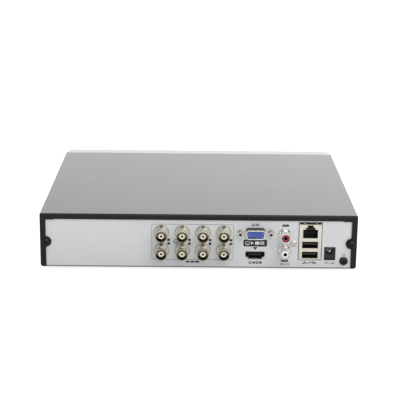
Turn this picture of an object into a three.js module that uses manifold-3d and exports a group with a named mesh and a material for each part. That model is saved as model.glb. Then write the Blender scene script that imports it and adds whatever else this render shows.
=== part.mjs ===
// An eight-channel video recorder in a small sheet-steel case, as an assembly of its separate pieces.
// Millimetres. +Z is up, +Y is the rear with its sockets and -Y the front bezel.
// The origin is the middle of the whole recorder's footprint, on the surface that its feet stand on.
import * as THREE from "three";
import { mergeVertices } from "three/addons/utils/BufferGeometryUtils.js";
import Module from "manifold-3d";

const wasm = await Module();
wasm.setup();

// ---------------------------------------------------------------- driving dimensions
const CASE_W = 260;
const CASE_H = 46; // steel case, feet not counted
const OVERALL_D = 222; // rear face of the cover to front face of the bezel
const BEZEL_D = 14;
const FOOT_H = 2.5;
const SHEET = 1; // steel sheet
const GAP = 0.3; // clearance between neighbouring pieces
const BNC_OVERHANG = 11; // video sockets beyond the rear face of the cover
const BEND_R = 1.5; // outer radius of the cover's long bends
const BEZEL_TAPER = 3; // each end of the bezel draws in this much towards the front
const BEZEL_WALL = 2;
const BOARD_T = 1.6;
const BOARD_TOP_Z = 9.9;
const DRIVE = { length: 147, width: 101.6, height: 26.1 };

// ---------------------------------------------------------------- planes worked out from them
const HALF_W = CASE_W / 2;
const BASE_Z = FOOT_H;
const TOP_Z = BASE_Z + CASE_H;
const REAR_Y = (OVERALL_D - BNC_OVERHANG) / 2;
const FRONT_Y = REAR_Y - OVERALL_D;
const COVER_FRONT_Y = FRONT_Y + BEZEL_D;
const PANEL_Y = REAR_Y - SHEET - GAP; // outer face of the rear panel
const PANEL_IN_Y = PANEL_Y - SHEET;
const BLOCK_Y = PANEL_IN_Y - GAP; // front faces of the socket housings behind the panel
const TRAY_HALF_W = HALF_W - SHEET - GAP;
const TRAY_FRONT_Y = COVER_FRONT_Y + GAP;
const TRAY_TOP_Z = TOP_Z - SHEET - GAP;
const FLOOR_Z = BASE_Z + SHEET;
const COVER_BOTTOM_Z = BASE_Z + 0.7;
const ON_BOARD_Z = BOARD_TOP_Z + GAP;

// ---------------------------------------------------------------- rear panel layout, as centres in X and Z
const BNC = { columns: [30.5, 13.5, -3.5, -20.5], rows: [32.6, 17.4], flangeR: 6.6, holeR: 6.9 };
const VGA = { x: -46.4, z: 32.85, topW: 16.6, height: 7.9, postX: 12.5, reach: 6, holeR: 1.7, inset: 1.2 };
const DIGITAL = { x: -46.4, z: 13.85, width: 15, height: 5.6, corner: 1.7 };
const RCA = { x: -70.5, rows: [31.8, 17.9], flangeR: 5.4, barrelR: 4.15, boreR: 3.2, holeR: 4.5, reach: 11 };
const STACK = { x: -91.4, width: 18.6, bottomZ: 10.4, topZ: 42, rearY: 84 };
const LAN_Z = 29; // floor of the network socket
const USB = { rows: [23.2, 14.6], width: 13, height: 5.6 };
const DC = { x: -107.8, width: 8.8, bottomZ: 10.3, topZ: 21.1, boreZ: 17.5, boreR: 3.15 };
const GROUND = { x: -119.4, z: 9.6 };
const PANEL_SCREWS = { video: [18.7, 25.1], audio: [-77.9, 24.4] };
const COVER_SCREW = { x: 125, z: 24.5 };
const FLANGE = { side: 4.9, top: 4.6, cornerTop: 5.1, cornerW: 11.2, lobeR: 4.4 };

// ---------------------------------------------------------------- inside the case
const BOARD = { x0: -123, x1: 45, y0: 6, y1: 102 };
const STANDOFFS = [40, -38, -118].flatMap((x) => [11, 78].map((y) => [x, y]));
const DRIVE_AT = { x0: -26, y0: -97, z0: 7.5 };
const DRIVE_X1 = DRIVE_AT.x0 + DRIVE.length;
const DRIVE_Y1 = DRIVE_AT.y0 + DRIVE.width;
const DRIVE_TOP_Z = DRIVE_AT.z0 + DRIVE.height;
const DRIVE_LID_T = 1.5;
const SPINDLE = { x: DRIVE_X1 - DRIVE.width / 2, y: DRIVE_AT.y0 + DRIVE.width / 2 };
const PIVOT = { x: 10, y: -66 };
const CAVITY_Z = 14; // floor of the drive's sealed cavity
const DISC = { radius: 47.3, thick: 1.3, z: [18, 24] };
const ARM = { length: 54, thick: 1, z: [16, 21.1, 26.5], parkedDeg: 67.2 };
const DRIVE_HOLES = [41.3, 85.75].flatMap((dx) => [3.2, DRIVE.width - 3.2].map((dy) => [dx, dy]));
const SOC = { x: -62, y: 48, size: 23, height: 2 };
const HEATSINK = { size: 32, base: 2, height: 12, fins: 9, finT: 1.2 };
const CELL = { x: 16, y: 32, radius: 10, height: 3.2 };
const DATA = { boardX: -78, driveY: -62, socketZ: 13, driveZ: 10.3 };
const POWER = { boardX: -50, driveY: -38, socketZ: 13.9, driveZ: 10.5 };
const LEAD_X = -105;
const LED = { x: [-72, -82, -92], z: 14 };
const INDICATOR = { x0: -102, x1: -62, y: -109.4, z0: 8, z1: 20 };
const CLIP = { x: [-112, -40, 40, 112], z: [9, 39], width: 8, thick: 1.6 };
const FEET = {
  front_left: [-112, -86],
  front_right: [112, -86],
  rear_left: [-112, 86],
  rear_right: [112, 86],
};

// ---------------------------------------------------------------- geometry helpers

// A closed geometry as a manifold solid.
function solidOf(geometry) {
  const bare = geometry.clone();
  bare.deleteAttribute("normal");
  bare.deleteAttribute("uv");
  const merged = mergeVertices(bare, 1e-4);
  return new wasm.Manifold(
    new wasm.Mesh({
      numProp: 3,
      vertProperties: new Float32Array(merged.attributes.position.array),
      triVerts: new Uint32Array(merged.index.array),
    }),
  );
}

function geometryOf(solid) {
  const mesh = solid.getMesh();
  const geometry = new THREE.BufferGeometry();
  geometry.setAttribute("position", new THREE.BufferAttribute(new Float32Array(mesh.vertProperties), 3));
  geometry.setIndex(new THREE.BufferAttribute(new Uint32Array(mesh.triVerts), 1));
  geometry.computeVertexNormals();
  return geometry;
}

const join = (...pieces) => geometryOf(pieces.map(solidOf).reduce((a, b) => a.add(b)));

// base without the union of the tools.
function cut(base, ...tools) {
  const tool = tools.map(solidOf).reduce((a, b) => a.add(b));
  return geometryOf(solidOf(base).subtract(tool));
}

// A box between two opposite corners.
function block([x0, x1], [y0, y1], [z0, z1]) {
  const geometry = new THREE.BoxGeometry(x1 - x0, y1 - y0, z1 - z0);
  return geometry.translate((x0 + x1) / 2, (y0 + y1) / 2, (z0 + z1) / 2);
}

// A box by its centre in X and Z and its span in Y, as the sockets need.
const faceBlock = (x, z, w, h, [y0, y1]) => block([x - w / 2, x + w / 2], [y0, y1], [z - h / 2, z + h / 2]);

// A round bar along Y.
function barY(radius, x, z, [y0, y1], sides = 20) {
  return new THREE.CylinderGeometry(radius, radius, y1 - y0, sides).translate(x, (y0 + y1) / 2, z);
}

// A round bar along Z.
function barZ(radius, x, y, [z0, z1], sides = 20) {
  const bar = new THREE.CylinderGeometry(radius, radius, z1 - z0, sides);
  return bar.rotateX(Math.PI / 2).translate(x, y, (z0 + z1) / 2);
}

// A profile of [radius, y] points turned about the Y axis.
function turned(points, sides) {
  return new THREE.LatheGeometry(points.map(([r, y]) => new THREE.Vector2(r, y)), sides);
}

// A shape drawn in X and Z, extruded along Y between two planes.
function alongY(shape, [y0, y1], curveSegments = 3) {
  const made = new THREE.ExtrudeGeometry(shape, { depth: y1 - y0, bevelEnabled: false, curveSegments });
  return made.rotateX(Math.PI / 2).translate(0, y1, 0);
}

// A shape drawn in X and Y, with its underside at z.
function slab(shape, thick, z) {
  return new THREE.ExtrudeGeometry(shape, { depth: thick, bevelEnabled: false }).translate(0, 0, z);
}

function polygon(points) {
  return new THREE.Shape(points.map(([x, y]) => new THREE.Vector2(x, y)));
}

// A tube along a smooth route.
function tube(route, radius, steps) {
  const path = new THREE.CatmullRomCurve3(route.map((p) => new THREE.Vector3(...p)));
  const section = new THREE.Shape().absarc(0, 0, radius, 0, 2 * Math.PI);
  return new THREE.ExtrudeGeometry(section, { steps, curveSegments: 4, extrudePath: path });
}

// ---------------------------------------------------------------- finishes
const finish = (color, roughness, metalness) =>
  new THREE.MeshStandardMaterial({ color, roughness, metalness });
const FINISH = {
  blackPaint: finish(0x26282a, 0.35, 0.3),
  zincSteel: finish(0xc4c7ca, 0.4, 0.7),
  bezel: finish(0xdcdadb, 0.25, 0.1),
  rubber: finish(0x1c1c1c, 0.9, 0),
  blackScrew: finish(0x17181a, 0.4, 0.6),
  nickel: finish(0xc9c2ae, 0.25, 0.9),
  brightTin: finish(0xe4e0d4, 0.3, 0.8),
  whitePlastic: finish(0xf0ead8, 0.5, 0),
  redPlastic: finish(0xa3283a, 0.45, 0),
  bluePlastic: finish(0x3b4fb5, 0.5, 0),
  blackPlastic: finish(0x161616, 0.55, 0),
  board: finish(0x1d5a33, 0.5, 0),
  aluminium: finish(0xb6b9bc, 0.4, 0.8),
  disc: finish(0xd5d7da, 0.08, 1),
  clear: finish(0xdfe6ea, 0.15, 0),
  redCable: finish(0xa11d1d, 0.5, 0),
  darkCable: finish(0x2a2a2a, 0.6, 0),
};

const recorder = new THREE.Group();

function add(name, geometry, material, [x, y, z] = [0, 0, 0]) {
  const mesh = new THREE.Mesh(geometry, material);
  mesh.name = name;
  mesh.position.set(x, y, z);
  recorder.add(mesh);
  return mesh;
}

// ---------------------------------------------------------------- outlines that two pieces share

// The case's section, open side down, drawn inset from its outer faces.
function caseSection(inset, bottomZ) {
  const w = HALF_W - inset;
  const top = TOP_Z - inset;
  const r = BEND_R - inset;
  const shape = new THREE.Shape();
  shape.moveTo(-w, bottomZ);
  shape.lineTo(w, bottomZ);
  shape.lineTo(w, top - r);
  shape.absarc(w - r, top - r, r, 0, Math.PI / 2);
  shape.lineTo(-w + r, top);
  shape.absarc(-w + r, top - r, r, Math.PI / 2, Math.PI);
  return shape;
}

// The D of a 15-way display socket: widest at the top, with sides that lean in.
function displayD(grow) {
  const top = VGA.topW / 2 + grow;
  const h = VGA.height / 2 + grow;
  const lean = 2 * h * Math.tan(THREE.MathUtils.degToRad(10));
  const r = 2;
  return polygon([
    [-top + lean + r, -h],
    [top - lean - r, -h],
    [top - lean, -h + r],
    [top, h - r],
    [top - r, h],
    [-top + r, h],
    [-top, h - r],
    [-top + lean, -h + r],
  ]);
}

// The digital video socket's outline, with its two lower corners cut off.
function digitalVideoOutline(grow) {
  const w = DIGITAL.width / 2 + grow;
  const h = DIGITAL.height / 2 + grow;
  return polygon([
    [-w + DIGITAL.corner, -h],
    [w - DIGITAL.corner, -h],
    [w, -h + DIGITAL.corner],
    [w, h],
    [-w, h],
    [-w, -h + DIGITAL.corner],
  ]);
}

const moved = (geometry, x, z) => geometry.translate(x, 0, z);

// ---------------------------------------------------------------- case

// Cut-outs of the rear panel, one for each socket and screw.
function panelCutouts() {
  const through = [PANEL_IN_Y - 1, PANEL_Y + 1];
  const cuts = BNC.columns.flatMap((x) => BNC.rows.map((z) => barY(BNC.holeR, x, z, through)));
  cuts.push(moved(alongY(displayD(0.4), through), VGA.x, VGA.z));
  for (const side of [-1, 1]) cuts.push(barY(VGA.holeR, VGA.x + side * VGA.postX, VGA.z, through, 12));
  cuts.push(moved(alongY(digitalVideoOutline(0.4), through), DIGITAL.x, DIGITAL.z));
  for (const z of RCA.rows) cuts.push(barY(RCA.holeR, RCA.x, z, through, 16));
  cuts.push(block(
    [STACK.x - STACK.width / 2 - 0.4, STACK.x + STACK.width / 2 + 0.4],
    through,
    [STACK.bottomZ - 0.4, STACK.topZ + 0.6],
  ));
  const dcHalf = DC.width / 2 + GAP;
  cuts.push(block([DC.x - dcHalf, DC.x + dcHalf], through, [DC.bottomZ - GAP, DC.topZ + GAP]));
  cuts.push(barY(2.2, GROUND.x, GROUND.z, through, 12));
  for (const [x, z] of Object.values(PANEL_SCREWS)) cuts.push(barY(1.6, x, z, through, 12));
  for (const side of [-1, 1]) cuts.push(barY(1.8, side * COVER_SCREW.x, COVER_SCREW.z, through, 12));
  return cuts;
}

// Slots in the floor that let cool air in under the board and the drive.
function floorSlots() {
  const slots = [];
  for (let i = 0; i < 9; i++) {
    slots.push(block([-104 + i * 8, -101 + i * 8], [28, 58], [BASE_Z - 1, FLOOR_Z + 1]));
    slots.push(block([74 + i * 5, 76.5 + i * 5], [-62, -32], [BASE_Z - 1, FLOOR_Z + 1]));
  }
  return slots;
}

// The folded tray: floor, rear panel with a stiffening lip, front wall and low side walls.
function addChassisTray() {
  const floor = block([-TRAY_HALF_W, TRAY_HALF_W], [TRAY_FRONT_Y, PANEL_Y], [BASE_Z, FLOOR_Z]);
  const panel = block([-TRAY_HALF_W, TRAY_HALF_W], [PANEL_IN_Y, PANEL_Y], [BASE_Z, TRAY_TOP_Z]);
  const lip = block([-TRAY_HALF_W, TRAY_HALF_W], [PANEL_Y - 7, PANEL_Y], [TRAY_TOP_Z - SHEET, TRAY_TOP_Z]);
  const front = block([-TRAY_HALF_W, TRAY_HALF_W], [TRAY_FRONT_Y, TRAY_FRONT_Y + SHEET], [BASE_Z, 44]);
  const sides = [-1, 1].map((side) =>
    block(
      [side * TRAY_HALF_W - (side > 0 ? SHEET : 0), side * TRAY_HALF_W + (side < 0 ? SHEET : 0)],
      [TRAY_FRONT_Y, PANEL_Y],
      [BASE_Z, BASE_Z + 12],
    ),
  );
  const standoffs = STANDOFFS.map(([x, y]) => barZ(2.9, x, y, [BASE_Z, BOARD_TOP_Z - BOARD_T - GAP], 6));
  const driveHoles = DRIVE_HOLES.map(([dx, dy]) => [DRIVE_AT.x0 + dx, DRIVE_AT.y0 + dy]);
  const bosses = driveHoles.map(([x, y]) => barZ(3.1, x, y, [BASE_Z, DRIVE_AT.z0 - GAP], 12));
  const wall = [TRAY_FRONT_Y - 1, TRAY_FRONT_Y + SHEET + 1];
  const cuts = [
    ...panelCutouts(),
    ...floorSlots(),
    ...STANDOFFS.map(([x, y]) => barZ(1.3, x, y, [5, 12], 8)),
    ...driveHoles.map(([x, y]) => barZ(1.8, x, y, [0, 10], 10)),
    ...CLIP.x.flatMap((x) => CLIP.z.map((z) => faceBlock(x, z, CLIP.width + 2, 3.4, wall))),
    block([INDICATOR.x0 - 6, INDICATOR.x1 + 2], wall, [7, 25]),
  ];
  const folded = join(floor, panel, lip, front, ...sides, ...standoffs, ...bosses);
  add("chassis_tray", cut(folded, ...cuts), FINISH.zincSteel);
}

// Two rows of slots in each side of the cover.
function coverVents() {
  const vents = [];
  for (const row of [17, 32]) {
    for (let i = 0; i < 13; i++) {
      const y = -78 + i * 8;
      vents.push(block([-HALF_W - 1, HALF_W + 1], [y, y + 2.4], [row - 5, row + 5]));
    }
  }
  return vents;
}

// The folded cover: top, two sides, and a narrow flange round three edges of the rear panel.
function addTopCover() {
  const bent = cut(
    alongY(caseSection(0, COVER_BOTTOM_Z), [COVER_FRONT_Y, REAR_Y]),
    alongY(caseSection(SHEET, COVER_BOTTOM_Z - 1), [COVER_FRONT_Y - 1, REAR_Y - SHEET]),
  );
  const innerX = HALF_W - FLANGE.side;
  const stepX = innerX - FLANGE.cornerW / 2 - 0.7;
  const through = [REAR_Y - SHEET - 1, REAR_Y + 1];
  const opening = join(
    block([-innerX, innerX], through, [COVER_BOTTOM_Z - 1, TOP_Z - FLANGE.cornerTop]),
    block([-stepX, stepX], through, [COVER_BOTTOM_Z, TOP_Z - FLANGE.top]),
  );
  const lobes = [-1, 1].map((side) =>
    barY(FLANGE.lobeR, side * COVER_SCREW.x, COVER_SCREW.z, [REAR_Y - SHEET, REAR_Y], 24),
  );
  const screwHoles = [-1, 1].map((side) => barY(1.8, side * COVER_SCREW.x, COVER_SCREW.z, through, 12));
  const whole = join(cut(bent, opening), ...lobes);
  add("top_cover", cut(whole, ...screwHoles, ...coverVents()), FINISH.blackPaint);
}

// A box whose front face is drawn in at its ends and underneath.
function taperedBox(halfW, [y0, y1], [z0, z1], taper, rise) {
  const geometry = block([-halfW, halfW], [y0, y1], [z0, z1]);
  const position = geometry.attributes.position;
  for (let i = 0; i < position.count; i++) {
    if (position.getY(i) > (y0 + y1) / 2) continue;
    position.setX(i, position.getX(i) - Math.sign(position.getX(i)) * taper);
    if (position.getZ(i) < (z0 + z1) / 2) position.setZ(i, z0 + rise);
  }
  return geometry;
}

// The moulded front: a hollow shell with snap hooks, a ledge under the cover and two posts for a board.
function addFrontBezel() {
  const shell = cut(
    taperedBox(HALF_W, [FRONT_Y, COVER_FRONT_Y], [BASE_Z, TOP_Z], BEZEL_TAPER, 2),
    taperedBox(
      HALF_W - BEZEL_WALL,
      [FRONT_Y + BEZEL_WALL, COVER_FRONT_Y + 1],
      [BASE_Z + BEZEL_WALL, TOP_Z - BEZEL_WALL],
      BEZEL_TAPER,
      2,
    ),
  );
  const hooks = CLIP.x.flatMap((x) =>
    CLIP.z.flatMap((z) => [
      faceBlock(x, z - 0.3, CLIP.width, CLIP.thick, [FRONT_Y + 1, TRAY_FRONT_Y + 2.6]),
      faceBlock(x, z + 0.6, CLIP.width, CLIP.thick, [TRAY_FRONT_Y + SHEET + GAP, TRAY_FRONT_Y + 2.6]),
    ]),
  );
  const ledge = block([-118, 118], [COVER_FRONT_Y - 6, COVER_FRONT_Y + 3], [44.4, TOP_Z - SHEET - GAP]);
  const ledgeRoot = block([-118, 118], [COVER_FRONT_Y - 8, COVER_FRONT_Y - 4], [44.4, TOP_Z - 1]);
  const posts = [INDICATOR.x0 + 3, INDICATOR.x1 - 3].map((x) =>
    barY(2, x, LED.z, [FRONT_Y + 1, INDICATOR.y - GAP], 12),
  );
  const lensHoles = LED.x.map((x) => barY(1.6, x, LED.z, [FRONT_Y - 1, FRONT_Y + BEZEL_WALL + 1], 12));
  const groove = faceBlock(0, 20.5, CASE_W, 0.8, [FRONT_Y - 1, FRONT_Y + 0.6]);
  const whole = join(shell, ...hooks, ledge, ledgeRoot, ...posts);
  add("front_bezel", cut(whole, ...lensHoles, groove), FINISH.bezel);
}

function addFeet() {
  for (const [name, [x, y]] of Object.entries(FEET)) {
    const foot = new THREE.CylinderGeometry(8, 7.4, FOOT_H, 24).rotateX(Math.PI / 2);
    add("rubber_foot_" + name, foot, FINISH.rubber, [x, y, FOOT_H / 2]);
  }
}

// ---------------------------------------------------------------- screws

// A cross-head screw along Y, with the underside of its head at y = 0.
function crossScrew({ headR, headH, shankR, length, recess }) {
  const head = [[headR, 0], [headR, headH / 2], [headR * 0.75, headH], [0, headH]];
  const body = turned([[0, -length], [shankR, -length], [shankR, 0], ...head], 18);
  const depth = [headH * 0.4, headH + 1];
  return cut(body, faceBlock(0, 0, recess, recess / 4, depth), faceBlock(0, 0, recess / 4, recess, depth));
}

function addScrews() {
  const coverScrew = { headR: 3, headH: 2, shankR: 1.5, length: 8, recess: 3 };
  for (const [name, side] of [["right", -1], ["left", 1]]) {
    const place = [side * COVER_SCREW.x, REAR_Y, COVER_SCREW.z];
    add("cover_screw_" + name, crossScrew(coverScrew), FINISH.blackScrew, place);
  }
  const ground = { headR: 3.5, headH: 2.4, shankR: 1.9, length: 9, recess: 3.6 };
  add("ground_screw", crossScrew(ground), FINISH.blackScrew, [GROUND.x, PANEL_Y, GROUND.z]);
  const small = { headR: 2.6, headH: 1.5, shankR: 1.25, length: 6, recess: 2.4 };
  for (const [name, [x, z]] of Object.entries(PANEL_SCREWS)) {
    add(name + "_panel_screw", crossScrew(small), FINISH.nickel, [x, PANEL_Y, z]);
  }
}

// ---------------------------------------------------------------- video inputs

// One bayonet socket, with y = 0 on the panel's outer face: its shell and the insulator inside it.
function bncShell() {
  const tip = REAR_Y + BNC_OVERHANG - PANEL_Y;
  const body = turned(
    [
      [BNC.flangeR, -SHEET], [BNC.flangeR, 0.5], [5.3, 0.5], [5.3, 2.2], [4.83, 2.2],
      [4.83, tip - 0.4], [4.5, tip], [4.1, tip], [4.1, 3.6], [2.9, 3.6], [2.9, -SHEET], [BNC.flangeR, -SHEET],
    ],
    18,
  );
  const lug = new THREE.CylinderGeometry(1, 1, 11.1, 8).rotateX(Math.PI / 2).translate(0, 6.3, 0);
  return join(body, cut(lug, barY(4.5, 0, 0, [0, 12], 12)));
}

function bncInsulator() {
  return turned([[0, -0.7], [2.6, -0.7], [2.6, 10.3], [0.75, 10.3], [0.75, 5], [0, 5]], 16);
}

function addVideoInputs() {
  const block0 = block(
    [BNC.columns[3] - 8.4, BNC.columns[0] + 8.4],
    [84, BLOCK_Y],
    [ON_BOARD_Z, 41.2],
  );
  const [sx, sz] = PANEL_SCREWS.video;
  add("bnc_block", cut(block0, barY(1.55, sx, sz, [BLOCK_Y - 7, BLOCK_Y + 1], 12)), FINISH.blackPlastic);
  BNC.columns.forEach((x, column) =>
    BNC.rows.forEach((z, row) => {
      const channel = column * 2 + row + 1;
      add("bnc_shell_" + channel, bncShell(), FINISH.nickel, [x, PANEL_Y, z]);
      add("bnc_insulator_" + channel, bncInsulator(), FINISH.whitePlastic, [x, PANEL_Y, z]);
    }),
  );
}

// ---------------------------------------------------------------- display outputs

// The 15-way display socket: steel shell and mounting plate, blue insert with its holes, and two hex posts.
function addDisplaySocket() {
  const plate = faceBlock(0, 0, 31, 12.5, [-2.3, -SHEET - GAP]);
  const holes = [-1, 1].map((side) => barY(VGA.holeR, side * VGA.postX, 0, [-4, 2], 12));
  const shell = cut(
    join(plate, alongY(displayD(0), [-2.3, VGA.reach])),
    alongY(displayD(-0.5), [-4, VGA.reach + 1]),
    ...holes,
  );
  add("vga_shell", shell, FINISH.brightTin, [VGA.x, PANEL_Y, VGA.z]);

  const pinHoles = [];
  for (let row = 0; row < 3; row++) {
    for (let i = 0; i < 5; i++) {
      const x = (i - 2) * 2.29 + (row === 1 ? -0.57 : 0.57);
      pinHoles.push(barY(0.5, x, (1 - row) * 1.98, [VGA.reach - 4, VGA.reach + 1], 6));
    }
  }
  const insert = join(
    alongY(displayD(-VGA.inset), [-6, VGA.reach - 0.4]),
    faceBlock(0, 0, 24, 11, [-10, -2.6]),
  );
  add("vga_insert", cut(insert, ...pinHoles), FINISH.bluePlastic, [VGA.x, PANEL_Y, VGA.z]);

  const post = cut(
    join(barY(2.7, 0, 0, [0, 5.2], 6), barY(1.4, 0, 0, [-2.5, 1], 10)),
    barY(1.35, 0, 0, [1.5, 6], 10),
  );
  add("vga_post_left", post, FINISH.brightTin, [VGA.x + VGA.postX, PANEL_Y, VGA.z]);
  add("vga_post_right", post.clone(), FINISH.brightTin, [VGA.x - VGA.postX, PANEL_Y, VGA.z]);
}

function addDigitalVideoSocket() {
  const outside = alongY(digitalVideoOutline(0), [-11, 0.8]);
  const shell = cut(outside, alongY(digitalVideoOutline(-0.4), [-10, 2]));
  add("digital_video_shell", shell, FINISH.brightTin, [DIGITAL.x, PANEL_Y, DIGITAL.z]);
  const tongue = join(
    alongY(digitalVideoOutline(-0.7), [-9.7, -7.5]),
    faceBlock(0, 0.4, 11, 1.6, [-8, -1.2]),
  );
  add("digital_video_tongue", tongue, FINISH.blackPlastic, [DIGITAL.x, PANEL_Y, DIGITAL.z]);
}

// ---------------------------------------------------------------- audio sockets

function addAudioSockets() {
  const body = block([RCA.x - 5.9, RCA.x + 5.9], [88, BLOCK_Y], [ON_BOARD_Z, 39]);
  const [sx, sz] = PANEL_SCREWS.audio;
  const ear = block([sx - 2.7, RCA.x - 5], [BLOCK_Y - 5, BLOCK_Y], [sz - 3.5, sz + 3.5]);
  const screwHole = barY(1.55, sx, sz, [BLOCK_Y - 6, BLOCK_Y + 1], 12);
  add("audio_block", cut(join(body, ear), screwHole), FINISH.blackPlastic);

  const shell = turned(
    [
      [RCA.barrelR, -SHEET], [RCA.barrelR, 0], [RCA.flangeR, 0], [RCA.flangeR, 0.8], [RCA.barrelR, 0.8],
      [RCA.barrelR, RCA.reach - 0.4], [RCA.barrelR - 0.3, RCA.reach], [RCA.boreR, RCA.reach],
      [RCA.boreR, -SHEET],
      [RCA.barrelR, -SHEET],
    ],
    20,
  );
  const [seat, front, hole] = [RCA.boreR - GAP, RCA.reach - GAP, 1.5];
  const insulator = turned(
    [[0, -SHEET], [seat, -SHEET], [seat, front], [hole, front], [hole, 1.5], [0, 1.5]],
    18,
  );
  const [inZ, outZ] = RCA.rows;
  add("rca_shell_in", shell, FINISH.brightTin, [RCA.x, PANEL_Y, inZ]);
  add("rca_insulator_in", insulator, FINISH.redPlastic, [RCA.x, PANEL_Y, inZ]);
  add("rca_shell_out", shell.clone(), FINISH.brightTin, [RCA.x, PANEL_Y, outZ]);
  add("rca_insulator_out", insulator.clone(), FINISH.whitePlastic, [RCA.x, PANEL_Y, outZ]);
}

// ---------------------------------------------------------------- network and USB stack

// The network socket's mouth: a wide floor with two steps above it for the plug's latch.
function lanMouth(shrink, depth) {
  const steps = [[12.1, 0, 7.4], [7.6, 7, 9.2], [4.8, 8.8, 11.1]];
  return join(
    ...steps.map(([w, low, high]) =>
      block([-w / 2 + shrink, w / 2 - shrink], depth, [low + (low ? 0 : shrink), high - shrink]),
    ),
  );
}

function addNetworkStack() {
  const mouthY = PANEL_Y + 0.5;
  const lanBack = mouthY - 14;
  const usbBack = mouthY - 15;
  const at = (geometry) => geometry.translate(STACK.x, 0, LAN_Z);
  const half = STACK.width / 2;
  const shield = cut(
    block([STACK.x - half, STACK.x + half], [STACK.rearY, mouthY], [STACK.bottomZ, STACK.topZ]),
    at(lanMouth(0, [lanBack, mouthY + 1])),
    ...USB.rows.map((z) => faceBlock(STACK.x, z, USB.width, USB.height, [usbBack, mouthY + 1])),
  );
  add("lan_usb_shield", shield, FINISH.brightTin);

  const combY = [lanBack + 2.3, mouthY];
  const comb = [-3, -2, -1, 0, 1, 2, 3].map((i) => faceBlock(i * 1.27, 3.4, 0.5, 3.4, combY));
  const insert = cut(lanMouth(GAP, [lanBack + GAP, lanBack + 4]), ...comb);
  add("lan_contact_insert", at(insert), FINISH.blackPlastic);

  ["upper", "lower"].forEach((name, i) => {
    const z = USB.rows[i];
    const tongue = join(
      faceBlock(STACK.x, z, USB.width - 2 * GAP, USB.height - 2 * GAP, [usbBack + GAP, usbBack + 3]),
      faceBlock(STACK.x, z + 0.7, 11.1, 1.9, [usbBack + 2, mouthY - 1]),
    );
    add("usb_tongue_" + name, tongue, FINISH.blackPlastic);
  });
}

// ---------------------------------------------------------------- power socket

function addPowerSocket() {
  const front = PANEL_Y - 0.2;
  const body = cut(
    block([DC.x - DC.width / 2, DC.x + DC.width / 2], [91, front], [DC.bottomZ, DC.topZ]),
    barY(DC.boreR, DC.x, DC.boreZ, [front - 10, front + 1], 20),
  );
  add("dc_jack_body", body, FINISH.blackPlastic);
  const back = front - 10 + GAP;
  const pin = join(
    barY(DC.boreR - GAP, DC.x, DC.boreZ, [back, back + 1], 16),
    barY(1, DC.x, DC.boreZ, [back + 0.5, front - 1.5], 12),
  );
  add("dc_jack_pin", pin, FINISH.nickel);
}

// ---------------------------------------------------------------- main board

// What is soldered to the board, as [x, y, width, depth, height]: chips, coils and sockets.
const BOARD_PARTS = [
  [24, 68, 12, 12, 1.5],
  [2, 68, 12, 12, 1.5],
  [-92, 48, 8, 11, 1.3],
  [-92, 34, 8, 11, 1.3],
  [-34, 40, 6, 5, 1.3],
  [-92, 70, 12, 16, 5.5],
  [-112, 60, 7, 7, 4],
  [-112, 46, 7, 7, 4],
  [DATA.boardX, 11, 16, 8, 6.2],
  [POWER.boardX, 11, 14, 8, 7],
  [LEAD_X, 11, 10, 6, 6],
];
const CAPACITORS = [[-110, 80, 4, 11], [-110, 30, 3.15, 8], [-102, 22, 3.15, 8], [-20, 20, 3.15, 8]];

function addMainBoard() {
  const sheet = block([BOARD.x0, BOARD.x1], [BOARD.y0, BOARD.y1], [BOARD_TOP_Z - BOARD_T, BOARD_TOP_Z]);
  const sunk = BOARD_TOP_Z - 0.4;
  const throughBoard = [BOARD_TOP_Z - 3, BOARD_TOP_Z + 1];
  const parts = BOARD_PARTS.map(([x, y, w, d, h]) =>
    block([x - w / 2, x + w / 2], [y - d / 2, y + d / 2], [sunk, BOARD_TOP_Z + h]),
  );
  const cans = CAPACITORS.map(([x, y, r, h]) => barZ(r, x, y, [sunk, BOARD_TOP_Z + h], 14));
  const holder = cut(
    barZ(CELL.radius + 2, CELL.x, CELL.y, [sunk, BOARD_TOP_Z + 3], 20),
    barZ(CELL.radius + GAP, CELL.x, CELL.y, [BOARD_TOP_Z + 1, BOARD_TOP_Z + 5], 20),
  );
  const holes = STANDOFFS.map(([x, y]) => barZ(1.7, x, y, throughBoard, 10));
  const notch = block([BOARD.x0 - 1, GROUND.x + 5.4], [PANEL_Y - 11, BOARD.y1 + 1], throughBoard);
  add("main_board", cut(join(sheet, ...parts, ...cans, holder), ...holes, notch), FINISH.board);

  const cellZ = BOARD_TOP_Z + 1 + GAP;
  add("coin_cell", barZ(CELL.radius, CELL.x, CELL.y, [cellZ, cellZ + CELL.height], 20), FINISH.brightTin);

  const { x, y, size, height } = SOC;
  const half = size / 2;
  const chip = block([x - half, x + half], [y - half, y + half], [ON_BOARD_Z, ON_BOARD_Z + height]);
  add("processor", chip, FINISH.blackPlastic);
}

function addHeatsink() {
  const { size, base, height, fins, finT } = HEATSINK;
  const z0 = ON_BOARD_Z + SOC.height + GAP;
  const [x0, y0] = [SOC.x - size / 2, SOC.y - size / 2];
  const foot = block([x0, x0 + size], [y0, y0 + size], [z0, z0 + base]);
  const pitch = (size - finT) / (fins - 1);
  const blades = Array.from({ length: fins }, (_, i) =>
    block([x0 + i * pitch, x0 + i * pitch + finT], [y0, y0 + size], [z0 + base / 2, z0 + height]),
  );
  add("heatsink", join(foot, ...blades), FINISH.aluminium);
}

// ---------------------------------------------------------------- hard disk

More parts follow.
